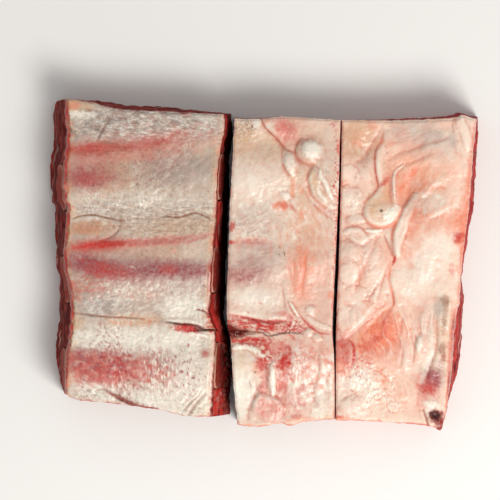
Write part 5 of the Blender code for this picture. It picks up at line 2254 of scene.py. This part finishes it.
RIGHT_TONES: tuple[Mark, ...] = (
    *stains(
        BROWN, (0.32, (210.4, 101), (5.4, 8), 20, 0.7), (0.1, (180, 70), (10, 9), 0, 0.7),
        (0.36, (216.6, 188.6), (5, 5), 20, 0.8), (0.16, (180, 78), (6, 4)),
    ),
    *stains(
        ORANGE, (0.72, (210.4, 101), (6.4, 9), 20, 0.7), (0.2, (180, 70), (10, 9), 0, 0.7),
        (0.24, (210, 136), (10, 13), 0, 0.7), (0.5, (228.6, 115.2), (5.5, 7), 0, 0.7),
        (0.45, (188, 168), (11, 15), 0, 0.7), (0.55, (189, 168), (10, 10), -40, 0.7),
        (0.4, (204, 84), (12, 16), 0, 0.7), (0.3, (206, 94), (10, 12), 60), (0.22, (224, 96), (8, 18), 8),
        (0.3, (222, 113), (10, 7)), (0.45, (232.2, 108), (2.6, 20), 6), (0.2, (184, 128), (14, 14)),
        (0.24, (206, 120), (7, 13)), (0.42, (192, 160), (7, 14), 112), (0.5, (189, 168), (5, 10), 120),
        (0.2, (206, 160), (12, 16)), (0.22, (202, 196), (12, 10)),
    ),
    *stains(
        YELLOW, (0.24, (180, 70), (10, 9), 0, 0.7), (0.42, (178.3, 68), (9, 9)), (0.35, (207, 90), (15, 12)),
        (0.3, (188, 104), (8, 10)), (0.28, (222, 160), (5, 16)), (0.36, (186, 191), (11, 8)),
    ),
    stain(CREVICE, 0.22, (210, 136), (10, 13), 0, 0.7),
    *stains(
        CREAM, (0.3, (183, 125), (6, 5), 0, 0.7), (0.6, (218, 124), (12, 8), -20),
        (0.55, (210, 140), (12, 10), -10), (0.4, (178, 196), (10, 12)), (0.5, (214, 100), (7, 5)),
    ),
    *stains(
        ROSE, (0.22, (237, 75), (2, 12), 0, 0.7), (0.35, (233.6, 104), (1.8, 28), 6),
        (0.14, (200, 174), (12, 10)), (0.12, (172, 150), (5, 24)),
    ),
    *stains(
        BLOOD, (0.75, (229.4, 118.8), (2.6, 2.6), -30, 0.6), (0.4, (214.6, 195), (5, 4.6), 20, 0.6),
        (0.34, (172, 176), (5, 9), 0, 0.7),
    ),
    stain(BRUISE, 0.3, (216.0, 190.0), (6, 7), 20, 0.8),
    *stains(GREY, (0.4, (207, 66), (14, 6)), (0.3, (216, 72), (12, 7))),
    *mottles(
        BLOOD, (0.34, 1.4, 0.0, (187, 171), (11, 13), 70, 3.0),
        (0.45, 1.0, 0.3, (183, 193), (14, 11), 30, 2.0), (0.55, 1.4, 0.1, (176, 181), (9, 9), -40, 2.2),
    ),
    mottle(ORANGE, 0.6, 1.6, 0.0, (180, 188), (14, 16), -40, 1.8),
    *lobes(
        (0.6, (176.6, 125), (4.4, 3.8), 0, 0.3, 0.1), (0.55, (185.7, 128.4), (6.4, 3.4), -62, 0.3, 0.1),
        (0.6, (174.4, 136.4), (5.0, 5.4), 0, 0.3, 0.1), (0.6, (184.5, 140.6), (7.2, 4.0), -70, 0.3, 0.1),
        (0.5, (176.6, 147.6), (6.2, 4.2), -12, 0.3, 0.1), (0.5, (189.4, 148.4), (6.4, 3.4), -66, 0.3, 0.1),
        (0.5, (181.0, 156.4), (6.4, 4.6), -40, 0.3, 0.1), (0.5, (173.0, 159.6), (4.8, 6.2), 0, 0.3, 0.1),
        (0.55, (175.4, 97.6), (5.6, 4.4), 20, 0.3, 0.25), (0.5, (174.4, 88.0), (5.0, 5.2), 0, 0.25, 0.1),
        (0.5, (177.6, 191.4), (4.6, 3.6), 10, 0.3, 0.3), (0.5, (186.6, 190.0), (4.4, 4.0), -20, 0.3, 0.3),
        (0.5, (176.4, 202.4), (6.0, 4.4), -20, 0.3, 0.15),
    ),
)

RIGHT_BACK: tuple[Mark, ...] = (
    *stains(
        ORANGE, (0.3, (178.6, 71.6), (2.4, 2.2)), (0.7, (191.4, 70.8), (1.9, 1.3), -30),
        (0.35, (195.4, 71.8), (3.0, 1.6), -20), (0.45, (193.4, 89.6), (3.6, 2.6), -50),
        (0.34, (182.0, 92.6), (2.4, 5)), (0.4, (172.4, 91.5), (2.6, 1.6), -30),
        (0.75, (200.6, 93.6), (1.7, 2.2), 30), (0.6, (206.2, 86.6), (3.4, 1.8), -50),
        (0.4, (203.4, 91.4), (4, 7), 30), (0.35, (207.4, 113), (3.4, 7), 18),
        (0.35, (186.6, 62.4), (3.4, 2.2), 40), (0.34, (229.4, 61.4), (1.6, 3.6), -24),
        (0.9, (229.6, 118.6), (2.0, 3.4), 50), (0.5, (230.4, 109), (3.4, 4.4)),
    ),
    *stains(BROWN, (0.55, (192.9, 73.3), (0.5, 0.5)), (0.5, (193.7, 76.2), (0.55, 0.45))),
    *stains(BLOOD, (0.65, (192.4, 91.0), (3.2, 1.2), -50), (0.45, (230.4, 118.2), (1.2, 2.6), 50)),
    *stains(YELLOW, (0.4, (193.4, 97.4), (2.0, 4.0)), (0.45, (186.4, 102.6), (3.4, 5), 24)),
    # The first two creams are painted highlights: on the lit lower right of the head, and glints on the
    # crumbs to its right.
    *stains(
        CREAM, (0.85, (195.4, 106.6), (2.6, 4.6), 48), (0.7, (212.4, 98.4), (1.3, 1.0), -30),
        (0.6, (212.4, 105.6), (1.0, 1.4)),
    ),
    stain(DARK, 0.9, (190.7, 105.3), (0.7, 0.8)),
    *stains(GREY, (0.5, (212.4, 104.6), (0.5, 0.5)), (0.34, (227.0, 70.5), (2.0, 5), -10)),
    stain(ROSE, 0.45, (226.0, 134.7), (1.6, 3.4)),
    streak(
        BLOOD, 0.34, 0.45, (182.1, 102.2), (184, 99.6), (187.2, 96.5), (189.2, 93.3), (188.9, 90.7),
        (187.9, 85.6), (187.6, 79.2), (188.4, 74.5), (191.0, 70.3),
    ),
    *streaks(
        ORANGE,
        (
            0.7, 0.9, (201.0, 104.6), (199.0, 108.8), (196.1, 112.0), (190.4, 113.5), (185.2, 111.4),
            (182.2, 107.4),
        ),
        (0.65, 0.9, (197.6, 127), (196.6, 121.3), (196.9, 115.6), (199.3, 109.4), (202.6, 102.6)),
        (0.45, 0.9, (214.6, 96.4), (218.6, 92.8), (223.2, 94.6)),
    ),
    *lobes((0.8, (181.6, 91.6), (3.8, 7.6), 4, 0.15, 0.3), (0.8, (175.6, 102), (5.4, 6.0), -20, 0.1, 0.3)),
    swell(-2.2, (183, 75), (6, 11), 20),
    swell(1.6, (191, 105), (13, 12)),
    swell(1.1, (218, 80), (13, 13)),
    swell(1.4, (212, 120), (9, 18), -10),
    swell(-1.6, (233, 124), (8, 60), 4),
    swell(-1.0, (206, 92), (5, 10), 30),
    swell(0.9, (177, 128), (8, 14)),
    swell(0.8, (222, 104), (7, 5), -20),
    lap(0.5, 7.0, 0.34, (191.5, 61.5), (188.4, 67.6), (184.6, 73.8), (180.5, 79.6), (176, 82), crown=0.08),
    lap(
        0.7, 5.0, 0.95, (182.1, 102.2), (184, 99.6), (187.2, 96.5), (189.2, 93.3), (188.9, 90.7),
        (187.9, 85.6), (187.6, 79.2), (188.4, 74.5), (191.0, 70.3), (192.2, 65.0), crown=0.35,
    ),
    fold(
        0.55, 0.9, (202.4, 82.4), (198.6, 84.8), (197.0, 88.6), (197.0, 94), (197.4, 100), groove=0.3,
        crown=0.4,
    ),
    lap(0.9, 4.0, 0.45, (196.8, 103.5), (195.4, 98.0), (195.2, 92.6), (194.6, 87.8), crown=0.2),
    Crumble(
        (175.8, 103), (5, 5), 0, 0.3, 0.4, cell=1.3, high=0.35, pigment=ORANGE, strength=0.35, crown=0.4,
    ),
    swell(1.2, (192, 106.4), (8.4, 6.6)),
    lap(
        1.5, 6.0, 0.85, (201.4, 103.0), (199.6, 108.2), (196.1, 112.2), (190.4, 113.9), (184.8, 112),
        (181.6, 107.5), (182.1, 102.2), crown=0.5,
    ),
    fold(
        1.6, 3.3, (208.4, 96.4), (206.0, 102.5), (202.8, 108.6), (200.4, 115), (198.8, 121), (199.0, 128.6),
        groove=0.15, crown=0.3,
    ),
    lap(
        0.7, 2.6, 0.9, (198.2, 129.2), (196.4, 122.3), (196.6, 115.6), (198.9, 109.4), (202.6, 102.0),
        (205.8, 97.6), crown=0.4,
    ),
    lap(
        0.7, 3.0, 0.6, (208.0, 101.5), (206.8, 106.4), (204.6, 110.6), (204.2, 115), (202.4, 119.4),
        (200.6, 124), (200.4, 128.8), crown=0.1,
    ),
    lap(0.6, 4.0, 0.35, (223.0, 94.0), (218.6, 93.0), (215.4, 96.4), (210.6, 99.4), crown=0.2),
    lap(0.5, 6.0, 0.3, (209.4, 75.2), (213.6, 72.0), (219, 70.9), (225.4, 68.6), crown=0.12),
    lap(0.6, 5.0, 0.16, (193.6, 80.6), (201, 76.4), (209.4, 73.4), (214, 68.4), crown=0.1),
    lap(0.5, 5.0, 0.12, (199.6, 84), (208, 80.4), (217, 76.6), crown=0.1),
    fold(1.1, 2.6, (229.0, 56.6), (231.2, 62.6), (233.4, 68), (234.6, 75.4), groove=0.1, crown=0.35),
    lap(0.6, 3.5, 0.3, (227.2, 66.6), (226.6, 61.4), (228.4, 58.8), crown=0.1),
    lap(0.5, 3.5, 0.25, (226, 104), (220.4, 107.4), (214.6, 109.6), crown=0.15),
    Drape((208, 68), (14, 6), -24, 0.3, 0.6, spacing=2.4, high=0.12, stretch=5.0, strength=0.3, hollow_tint=0.06),
    Drape((219, 98), (11, 22), -62, 0.3, 0.6, spacing=3.4, high=0.16, stretch=4.0, strength=0.28, hollow_tint=0.1),
    Drape((177, 74), (7, 12), -58, 0.3, 0.6, spacing=2.8, high=0.14, stretch=4.0, strength=0.3, hollow_tint=0.06),
)

RIGHT_MIDDLE: tuple[Mark, ...] = (
    stain(BRUISE, 0.12, (178.6, 109.8), (4.4, 2.2)),
    stain(CREAM, 0.4, (177.6, 157.0), (7.4, 7.0)),
    stain(YELLOW, 0.45, (183.4, 165.4), (2.4, 6.4), 40),
    *stains(
        ORANGE, (0.62, (190.0, 167.0), (7.6, 5.0), -50), (0.7, (183.6, 172.6), (6.0, 2.8), -16),
        (0.5, (172.0, 184.6), (4.0, 3.4), 30),
    ),
    *stains(
        BLOOD, (0.46, (187.6, 170.2), (5.4, 2.0), -34), (0.34, (192.6, 163.0), (1.6, 4.4), 16),
        (0.36, (183.0, 174.6), (4.6, 1.2), 30), (0.5, (170.8, 172.2), (2.6, 2.2), 20),
        (0.75, (184.5, 181.6), (1.0, 0.6)),
    ),
    stain(ROSE, 0.42, (172.0, 176.4), (4.6, 7.6)),
    *stains(
        GREY, (0.3, (212.6, 163.0), (5.4, 9), 10), (0.55, (219.6, 154.0), (2.8, 6.4), 8),
        (0.35, (219.6, 184), (2, 4)),
    ),
    *stains(
        BROWN, (0.46, (222.6, 150.6), (2.2, 2.6)), (0.5, (222.2, 163.4), (1.2, 3.6), 8),
        (0.62, (221.2, 174.6), (1.8, 3.0), 8),
    ),
    stain(MEAT, 0.6, (222.0, 179.4), (1.3, 2.2), 8),
    *streaks(
        BLOOD, (0.85, 0.75, (197.6, 127.6), (197.2, 130.4), (196.3, 133.0)),
        (0.35, 0.45, (196.3, 146.0), (197.2, 151.3), (195.6, 154.0)),
        (0.4, 0.7, (196.4, 154.2), (193.2, 158.4), (191.4, 163.6)),
        (0.85, 0.7, (174.6, 169.8), (176.4, 172.4), (177.2, 176.1), (176.4, 182.6)),
    ),
    *streaks(
        ORANGE,
        (
            0.9, 0.75, (197.0, 130.0), (195.0, 135.2), (194.8, 140.9), (196.3, 146.6), (197.2, 152.3),
            (195.0, 154.6),
        ),
        (0.55, 1.2, (211.0, 174.4), (209.2, 178.0), (207.0, 181.4)),
    ),
    streak(CREAM, 0.7, 1.6, (216.8, 174.6), (213.4, 183.6), (210.6, 192.4)),
    streak(BROWN, 0.42, 1.3, (223.4, 147.4), (223.2, 154.4), (221.8, 162.2)),
    *lobes(
        (0.7, (178.4, 109.6), (4.6, 2.4), -6, 0.2, 0.4), (0.8, (173.4, 125.6), (4.4, 5.2), 12, 0.16, 0.3),
        (0.9, (175.0, 135.6), (5.0, 8.6), 14, 0.12, 0.35), (0.9, (187.8, 133.6), (4.6, 8.6), 12, 0.12, 0.3),
        (0.9, (210.0, 171.8), (2.0, 3.6), 10, 0.25, 0.4),
    ),
    lap(
        0.9, 3.6, 0.75, (171.0, 116.0), (173.4, 114.0), (176.6, 113.4), (180.4, 113.9), (183.4, 117),
        (184.9, 120), crown=0.4,
    ),
    lap(
        0.9, 3.2, 0.65, (190.5, 117.0), (187.4, 118.6), (184.5, 120.4), (181.1, 122.5), (176.6, 121.4),
        (174.0, 118.6), crown=0.5,
    ),
    fold(0.7, 0.9, (182.6, 115.2), (186.6, 115.4), (191.6, 114.9), groove=0.12, crown=0.8),
    lap(
        0.65, 5.0, 0.55, (184.9, 123.4), (184.4, 128.4), (181.9, 134.1), (179.1, 139.8), (177.3, 147),
        crown=0.12,
    ),
    lap(
        0.65, 5.0, 0.5, (195.2, 129.2), (194.2, 134.1), (191.7, 139.8), (189.7, 146.6), (188.4, 151.4),
        crown=0.12,
    ),
    lap(0.7, 4.0, 0.55, (189.2, 117.8), (186.5, 123.6), (184.9, 129.0), crown=0.1),
    lap(0.8, 3.6, 0.75, (197.3, 129.0), (194.6, 123.2), (192.0, 117.2), crown=0.2),
    lap(0.8, 6.0, 0.3, (197.4, 153.0), (196.6, 146.6), (195.0, 140.9), (195.2, 135.2), crown=0.12),
    lap(
        0.8, 7.0, 0.5, (190.6, 150.8), (186.4, 155.4), (182.4, 160.4), (177.6, 165.4), (172.6, 170.2),
        crown=0.15,
    ),
    lap(0.5, 5.0, 0.3, (196.6, 153.6), (191.4, 156.0), (187.0, 160.8), (181.4, 167), crown=0.1),
    lap(0.8, 3.6, 0.5, (175.6, 170.4), (177.0, 173.4), (177.2, 177.5), (176.2, 183.4), crown=0.25),
    Drape(
        (208, 166), (12, 22), 80, 0.25, 0.6, spacing=5.2, high=0.75, stretch=3.4, strength=0.45, hollow_tint=0.16,
    ),
    Drape((207, 138), (13, 12), 70, 0.3, 0.6, spacing=5.6, high=0.3, stretch=3.0, strength=0.3, hollow_tint=0.1),
    lap(0.8, 3.6, 0.5, (206.6, 181.4), (207.4, 176.4), (207.8, 171.4), (208.8, 166.8), crown=0.4),
    lap(0.8, 4.0, 0.35, (213.0, 190.4), (216.2, 181.4), (218.8, 171.6), (218.4, 160), crown=0.15),
    lap(0.7, 4.0, 0.3, (200.2, 184.4), (201.6, 176.4), (200.2, 167.6), (201.8, 158), crown=0.15),
)

RIGHT_FRONT: tuple[Mark, ...] = (
    *stains(
        ORANGE, (0.3, (189.4, 188.4), (5, 5)), (0.45, (200.8, 199.7), (1.5, 3.2)),
        (0.7, (170.3, 209), (5, 1.0)),
    ),
    # The last cream is a painted highlight by the hole.
    *stains(
        CREAM, (0.5, (182.0, 190.6), (5.0, 5.4)), (0.75, (216.4, 202.6), (4.6, 1.7), 14),
        (0.6, (213.4, 206.6), (1.4, 2.2)),
    ),
    *stains(
        ROSE, (0.32, (175.4, 204), (5, 5)), (0.62, (214.6, 190.4), (6.0, 5.4)),
        (0.46, (210.6, 200.4), (2.4, 5.0), 8),
    ),
    stain(BRUISE, 0.74, (216.6, 189.4), (3.4, 4.4), -10),
    stain(BROWN, 0.45, (217.0, 188.6), (2.4, 2.6)),
    *stains(BLOOD, (0.5, (213.4, 195.0), (4.6, 2.2), 20), (0.4, (169.4, 208.6), (3, 0.8))),
    stain(GREY, 0.4, (215.4, 201.6), (4.4, 2.0), 10),
    *stains(MEAT, (0.85, (218.5, 208.4), (4.2, 3.4), 20), (0.88, (220.8, 213.2), (3.0, 2.6))),
    # Painted shade inside the hole.
    stain(DARK, 0.92, (217.8, 207.8), (3.0, 2.3), 20),
    *streaks(
        BLOOD, (0.55, 0.9, (203, 212.0), (210, 212.6), (216, 213.2)),
        (0.4, 1.3, (226.6, 152), (226, 170), (225.0, 188), (223.6, 204)),
    ),
    *streaks(
        MEAT, (0.7, 0.7, (227.2, 159), (226.7, 166), (226.1, 172.5)),
        (0.6, 0.6, (225.5, 182), (224.9, 190), (224.1, 198)),
    ),
    lobe(1.0, (175.4, 204.0), (5.4, 5.0), 12, 0.25, 0.2),
    Crumble((184, 190), (11, 9), 14, 0.3, 0.6, cell=3.0, high=0.6, pigment=ORANGE, strength=0.75, crown=0.6),
    Crumble((191, 200), (10, 7), 0, 0.3, 0.6, cell=3.6, high=0.45, pigment=ORANGE, strength=0.36, crown=0.5),
    swell(-2.0, (218.2, 208.0), (3.8, 3.0), 20),
    crease(0.9, 0.7, 0.6, (211.6, 204.5), (213.2, 209), (214.4, 213.6), pigment=MEAT),
    Drape((204, 190), (12, 14), 70, 0.3, 0.6, spacing=5.0, high=0.22, stretch=4.0, strength=0.2, hollow_tint=0.06),
    Drape((176, 186), (8, 10), 60, 0.3, 0.6, spacing=3.4, high=0.3, stretch=3.0, strength=0.35, hollow_tint=0.12),
)

RIGHT_MARKS = RIGHT_TONES + RIGHT_BACK + RIGHT_MIDDLE + RIGHT_FRONT

# Marks on a cut side lie by their distance along it, down or across, and by their height.
LEFT_SIDES: dict[Side, tuple[Mark, ...]] = {
    Side.LEFT: (
        mottle(DARK, 0.62, 2.4, -0.2, (125, 17), (90, 11), 0, 6.0),
        streak(ROSE, 0.45, 0.5, (52, 20), (90, 21), (130, 19.4), (160, 21), (198, 20)),
        streak(ROSE, 0.40, 0.5, (52, 10), (100, 9), (150, 10.4), (198, 9)),
        mottle(BLOOD, 0.45, 2.0, -0.1, (125, 4), (90, 5), 0, 6.0),
        streak(CREAM, 0.50, 0.6, (166, 12), (173, 10.8), (181, 10.4)),
    ),
    Side.RIGHT: (
        stain(BLOOD, 0.50, (132, 27), (96, 7), 0, 0.4),
        mottle(ROSE, 0.50, 2.0, -0.1, (132, 27), (90, 6), 0, 4.0),
        streak(ROSE, 0.75, 0.7, (58, 25), (90, 24.2), (120, 25.2), (150, 24.4), (205, 25)),
        streak(CREAM, 0.55, 0.45, (62, 21.4), (95, 20.6), (128, 21.6), (160, 20.8), (200, 21.6)),
        # Painted shadow: near black low down, where this side faces the narrow gap to the middle slab.
        stain(DARK, 0.97, (108, 0), (72, 17), 0, 0.5),
        swell(1.6, (160, 23), (6.5, 8)),
        stain(BLOOD, 0.50, (160, 22), (8, 11), 0, 0.4),
        mottle(ROSE, 0.80, 1.3, 0.0, (160, 22), (9, 11), 0, 1.3),
        Crumble((187, 17), (22, 13), 0, 0.3, 0.4, cell=4.2, high=1.8, pigment=DARK, strength=0.45),
        mottle(BLOOD, 0.90, 2.6, -0.5, (188, 17), (24, 16), 0, 1.4),
        mottle(ROSE, 0.95, 2.2, -0.3, (190, 19), (22, 14), 0, 1.6),
        stain(ROSE, 0.40, (190, 20), (20, 12), 0, 0.5),
    ),
}
MIDDLE_SIDES: dict[Side, tuple[Mark, ...]] = {
    Side.LEFT: (
        stain(BLOOD, 0.60, (132, 28), (96, 5), 0, 0.4),
        # Painted shadow: near black low down, in the narrow gap to the left slab.
        stain(DARK, 0.97, (132, 0), (110, 22), 0, 0.5),
    ),
    # Painted shadow: near black low down, in the narrow gap to the right slab.
    Side.RIGHT: (stain(DARK, 0.97, (132, 0), (110, 22), 0, 0.5),),
}
RIGHT_SIDES: dict[Side, tuple[Mark, ...]] = {
    # Painted shadow: near black low down, in the narrow gap to the middle slab.
    Side.LEFT: (stain(DARK, 0.97, (132, 0), (110, 22), 0, 0.5),),
    Side.RIGHT: (
        stain(BLOOD, 0.30, (132, 24), (90, 7), 0, 0.4),
        mottle(DARK, 0.40, 2.4, 0.1, (132, 12), (90, 12), 0, 5.0),
        mottle(BLOOD, 0.50, 1.6, 0.1, (132, 14), (90, 14), 0, 6.0),
        streak(ROSE, 0.75, 0.9, (62, 20), (90, 21), (130, 19.6), (160, 20.6), (205, 20)),
        streak(ROSE, 0.55, 0.6, (62, 11), (100, 10.2), (150, 11.2), (205, 10)),
        stain(BLOOD, 0.50, (170, 27), (26, 5), 0, 0.4),
        mottle(CREAM, 0.50, 1.1, 0.0, (170, 25), (25, 1.4), 0, 1.3),
    ),
}


@dataclass
class Studio:
    """Pale floor, soft light from the front right, and the camera straight above."""

    aim: Point = (-7.05, 7.35)  # what the middle of the picture shows, in millimetres
    focus_high: float = 33.0
    camera_high: float = 1000.0  # above that height
    field: float = 250.0  # width of the view there
    sensor: float = 36.0
    nearest: float = 0.05  # that the camera sees, in metres
    key_place: Triple = (0.5, -0.62, 1.0)  # in metres
    key_size: float = 0.55
    key_power: float = 12.5
    key_colour: Triple = (1.0, 0.985, 0.96)
    fill_strength: float = 0.44
    floor_colour: tuple[int, int, int] = (246, 244, 240)
    floor_half: float = 1.6
    floor_roughness: float = 0.7

    def build_camera(self) -> None:
        """Look straight down with the rack's back at the top of the picture."""
        data = bpy.data.cameras.new("camera above")
        data.sensor_width = self.sensor
        data.lens = self.sensor * self.camera_high / self.field
        data.clip_start = self.nearest
        camera = bpy.data.objects.new("camera above", data)
        camera.location = Vector((self.aim[0], self.aim[1], self.focus_high + self.camera_high)) * MM
        bpy.context.scene.collection.objects.link(camera)
        bpy.context.scene.camera = camera

    def build_lights(self) -> None:
        """Hang the soft key light and fill the room evenly."""
        data = bpy.data.lights.new("soft key", "AREA")
        data.size = self.key_size
        data.energy = self.key_power
        data.color = self.key_colour
        key = bpy.data.objects.new("soft key", data)
        key.location = self.key_place
        key.rotation_euler = Vector(self.key_place).to_track_quat("Z", "Y").to_euler()
        bpy.context.scene.collection.objects.link(key)
        world = bpy.data.worlds.new("soft room")
        world.use_nodes = True
        room = world.node_tree.nodes["Background"]
        room.inputs["Color"].default_value = (1.0, 1.0, 1.0, 1.0)
        room.inputs["Strength"].default_value = self.fill_strength
        bpy.context.scene.world = world

    def build_floor(self) -> None:
        """Lay the pale floor under the rack."""
        half = self.floor_half
        data = bpy.data.meshes.new("floor")
        corners = [(-half, -half, 0.0), (half, -half, 0.0), (half, half, 0.0), (-half, half, 0.0)]
        data.from_pydata(corners, [], [(0, 1, 2, 3)])
        floor = bpy.data.objects.new("floor", data)
        bpy.context.scene.collection.objects.link(floor)
        made = bpy.data.materials.new("pale floor")
        made.use_nodes = True
        shader = made.node_tree.nodes["Principled BSDF"]
        shader.inputs["Base Color"].default_value = linear(self.floor_colour)
        shader.inputs["Roughness"].default_value = self.floor_roughness
        data.materials.append(made)

    def build(self) -> None:
        """Set up the whole studio, with colours shown as they are."""
        self.build_camera()
        self.build_lights()
        self.build_floor()
        bpy.context.scene.view_settings.view_transform = "Standard"


@dataclass
class Slab:
    """One sawn slab: its meat, its cover and its ribs."""

    title: str
    shape: SlabShape
    ribs: int
    cover_marks: tuple[Mark, ...]
    side_marks: dict[Side, tuple[Mark, ...]]
    cover_finish: FatFinish
    meat_finish: MeatFinish
    rims: tuple[Rim, ...]
    soak: float  # as in Cover
    rough: float
    hollow_tint: float

    def build(self) -> None:
        """Build and dress each piece of the slab."""
        solid = f"cover_{self.title}"
        cover = Cover(
            f"skin_{self.title}", solid, solid, self.shape, self.cover_finish, marks=self.cover_marks,
            rims=self.rims, rough=self.rough, hollow_tint=self.hollow_tint, soak=self.soak,
        )
        cover.dress(cover.build())
        solid = f"meat_{self.title}"
        flesh = Flesh(
            f"flesh_{self.title}", solid, solid, self.shape, self.meat_finish, self.ribs, self.side_marks
        )
        flesh.dress(flesh.build())
        for rib in range(self.ribs):
            number = f"{self.title}_{rib + 1}"
            bone = Rib(f"bone_{number}", f"rib_{number}", "bone", self.shape, BONE, rib)
            bone.dress(bone.build())


def main() -> None:
    """Set up the studio and build the three slabs from left to right."""
    logging.basicConfig(level=logging.INFO, format="%(name)s: %(message)s")
    Studio().build()
    slabs = (
        Slab(
            "left", SlabShape(LEFT_OUTLINE, (LEFT_CUT,), 1.0), 3, LEFT_MARKS, LEFT_SIDES, LEFT_FAT,
            DEEP_MEAT, rims=LEFT_RIMS, soak=0.9, rough=0.2, hollow_tint=0.14,
        ),
        # The middle slab's high soak is partly painted shade on its sawn edges beside the dark gaps.
        Slab(
            "middle", SlabShape(MIDDLE_OUTLINE, (MIDDLE_CUT,), 2.0), 3, MIDDLE_MARKS, MIDDLE_SIDES,
            MIDDLE_FAT, SHADED_MEAT, rims=MIDDLE_RIMS, soak=0.9, rough=0.14, hollow_tint=0.26,
        ),
        Slab(
            "right", SlabShape(RIGHT_OUTLINE, (), 3.0), 0, RIGHT_MARKS, RIGHT_SIDES, RIGHT_FAT, BRIGHT_MEAT,
            rims=RIGHT_RIMS, soak=0.3, rough=0.1, hollow_tint=0.3,
        ),
    )
    for slab in slabs:
        slab.build()
        log.info("%s slab: done", slab.title)


if __name__ == "__main__":
    main()
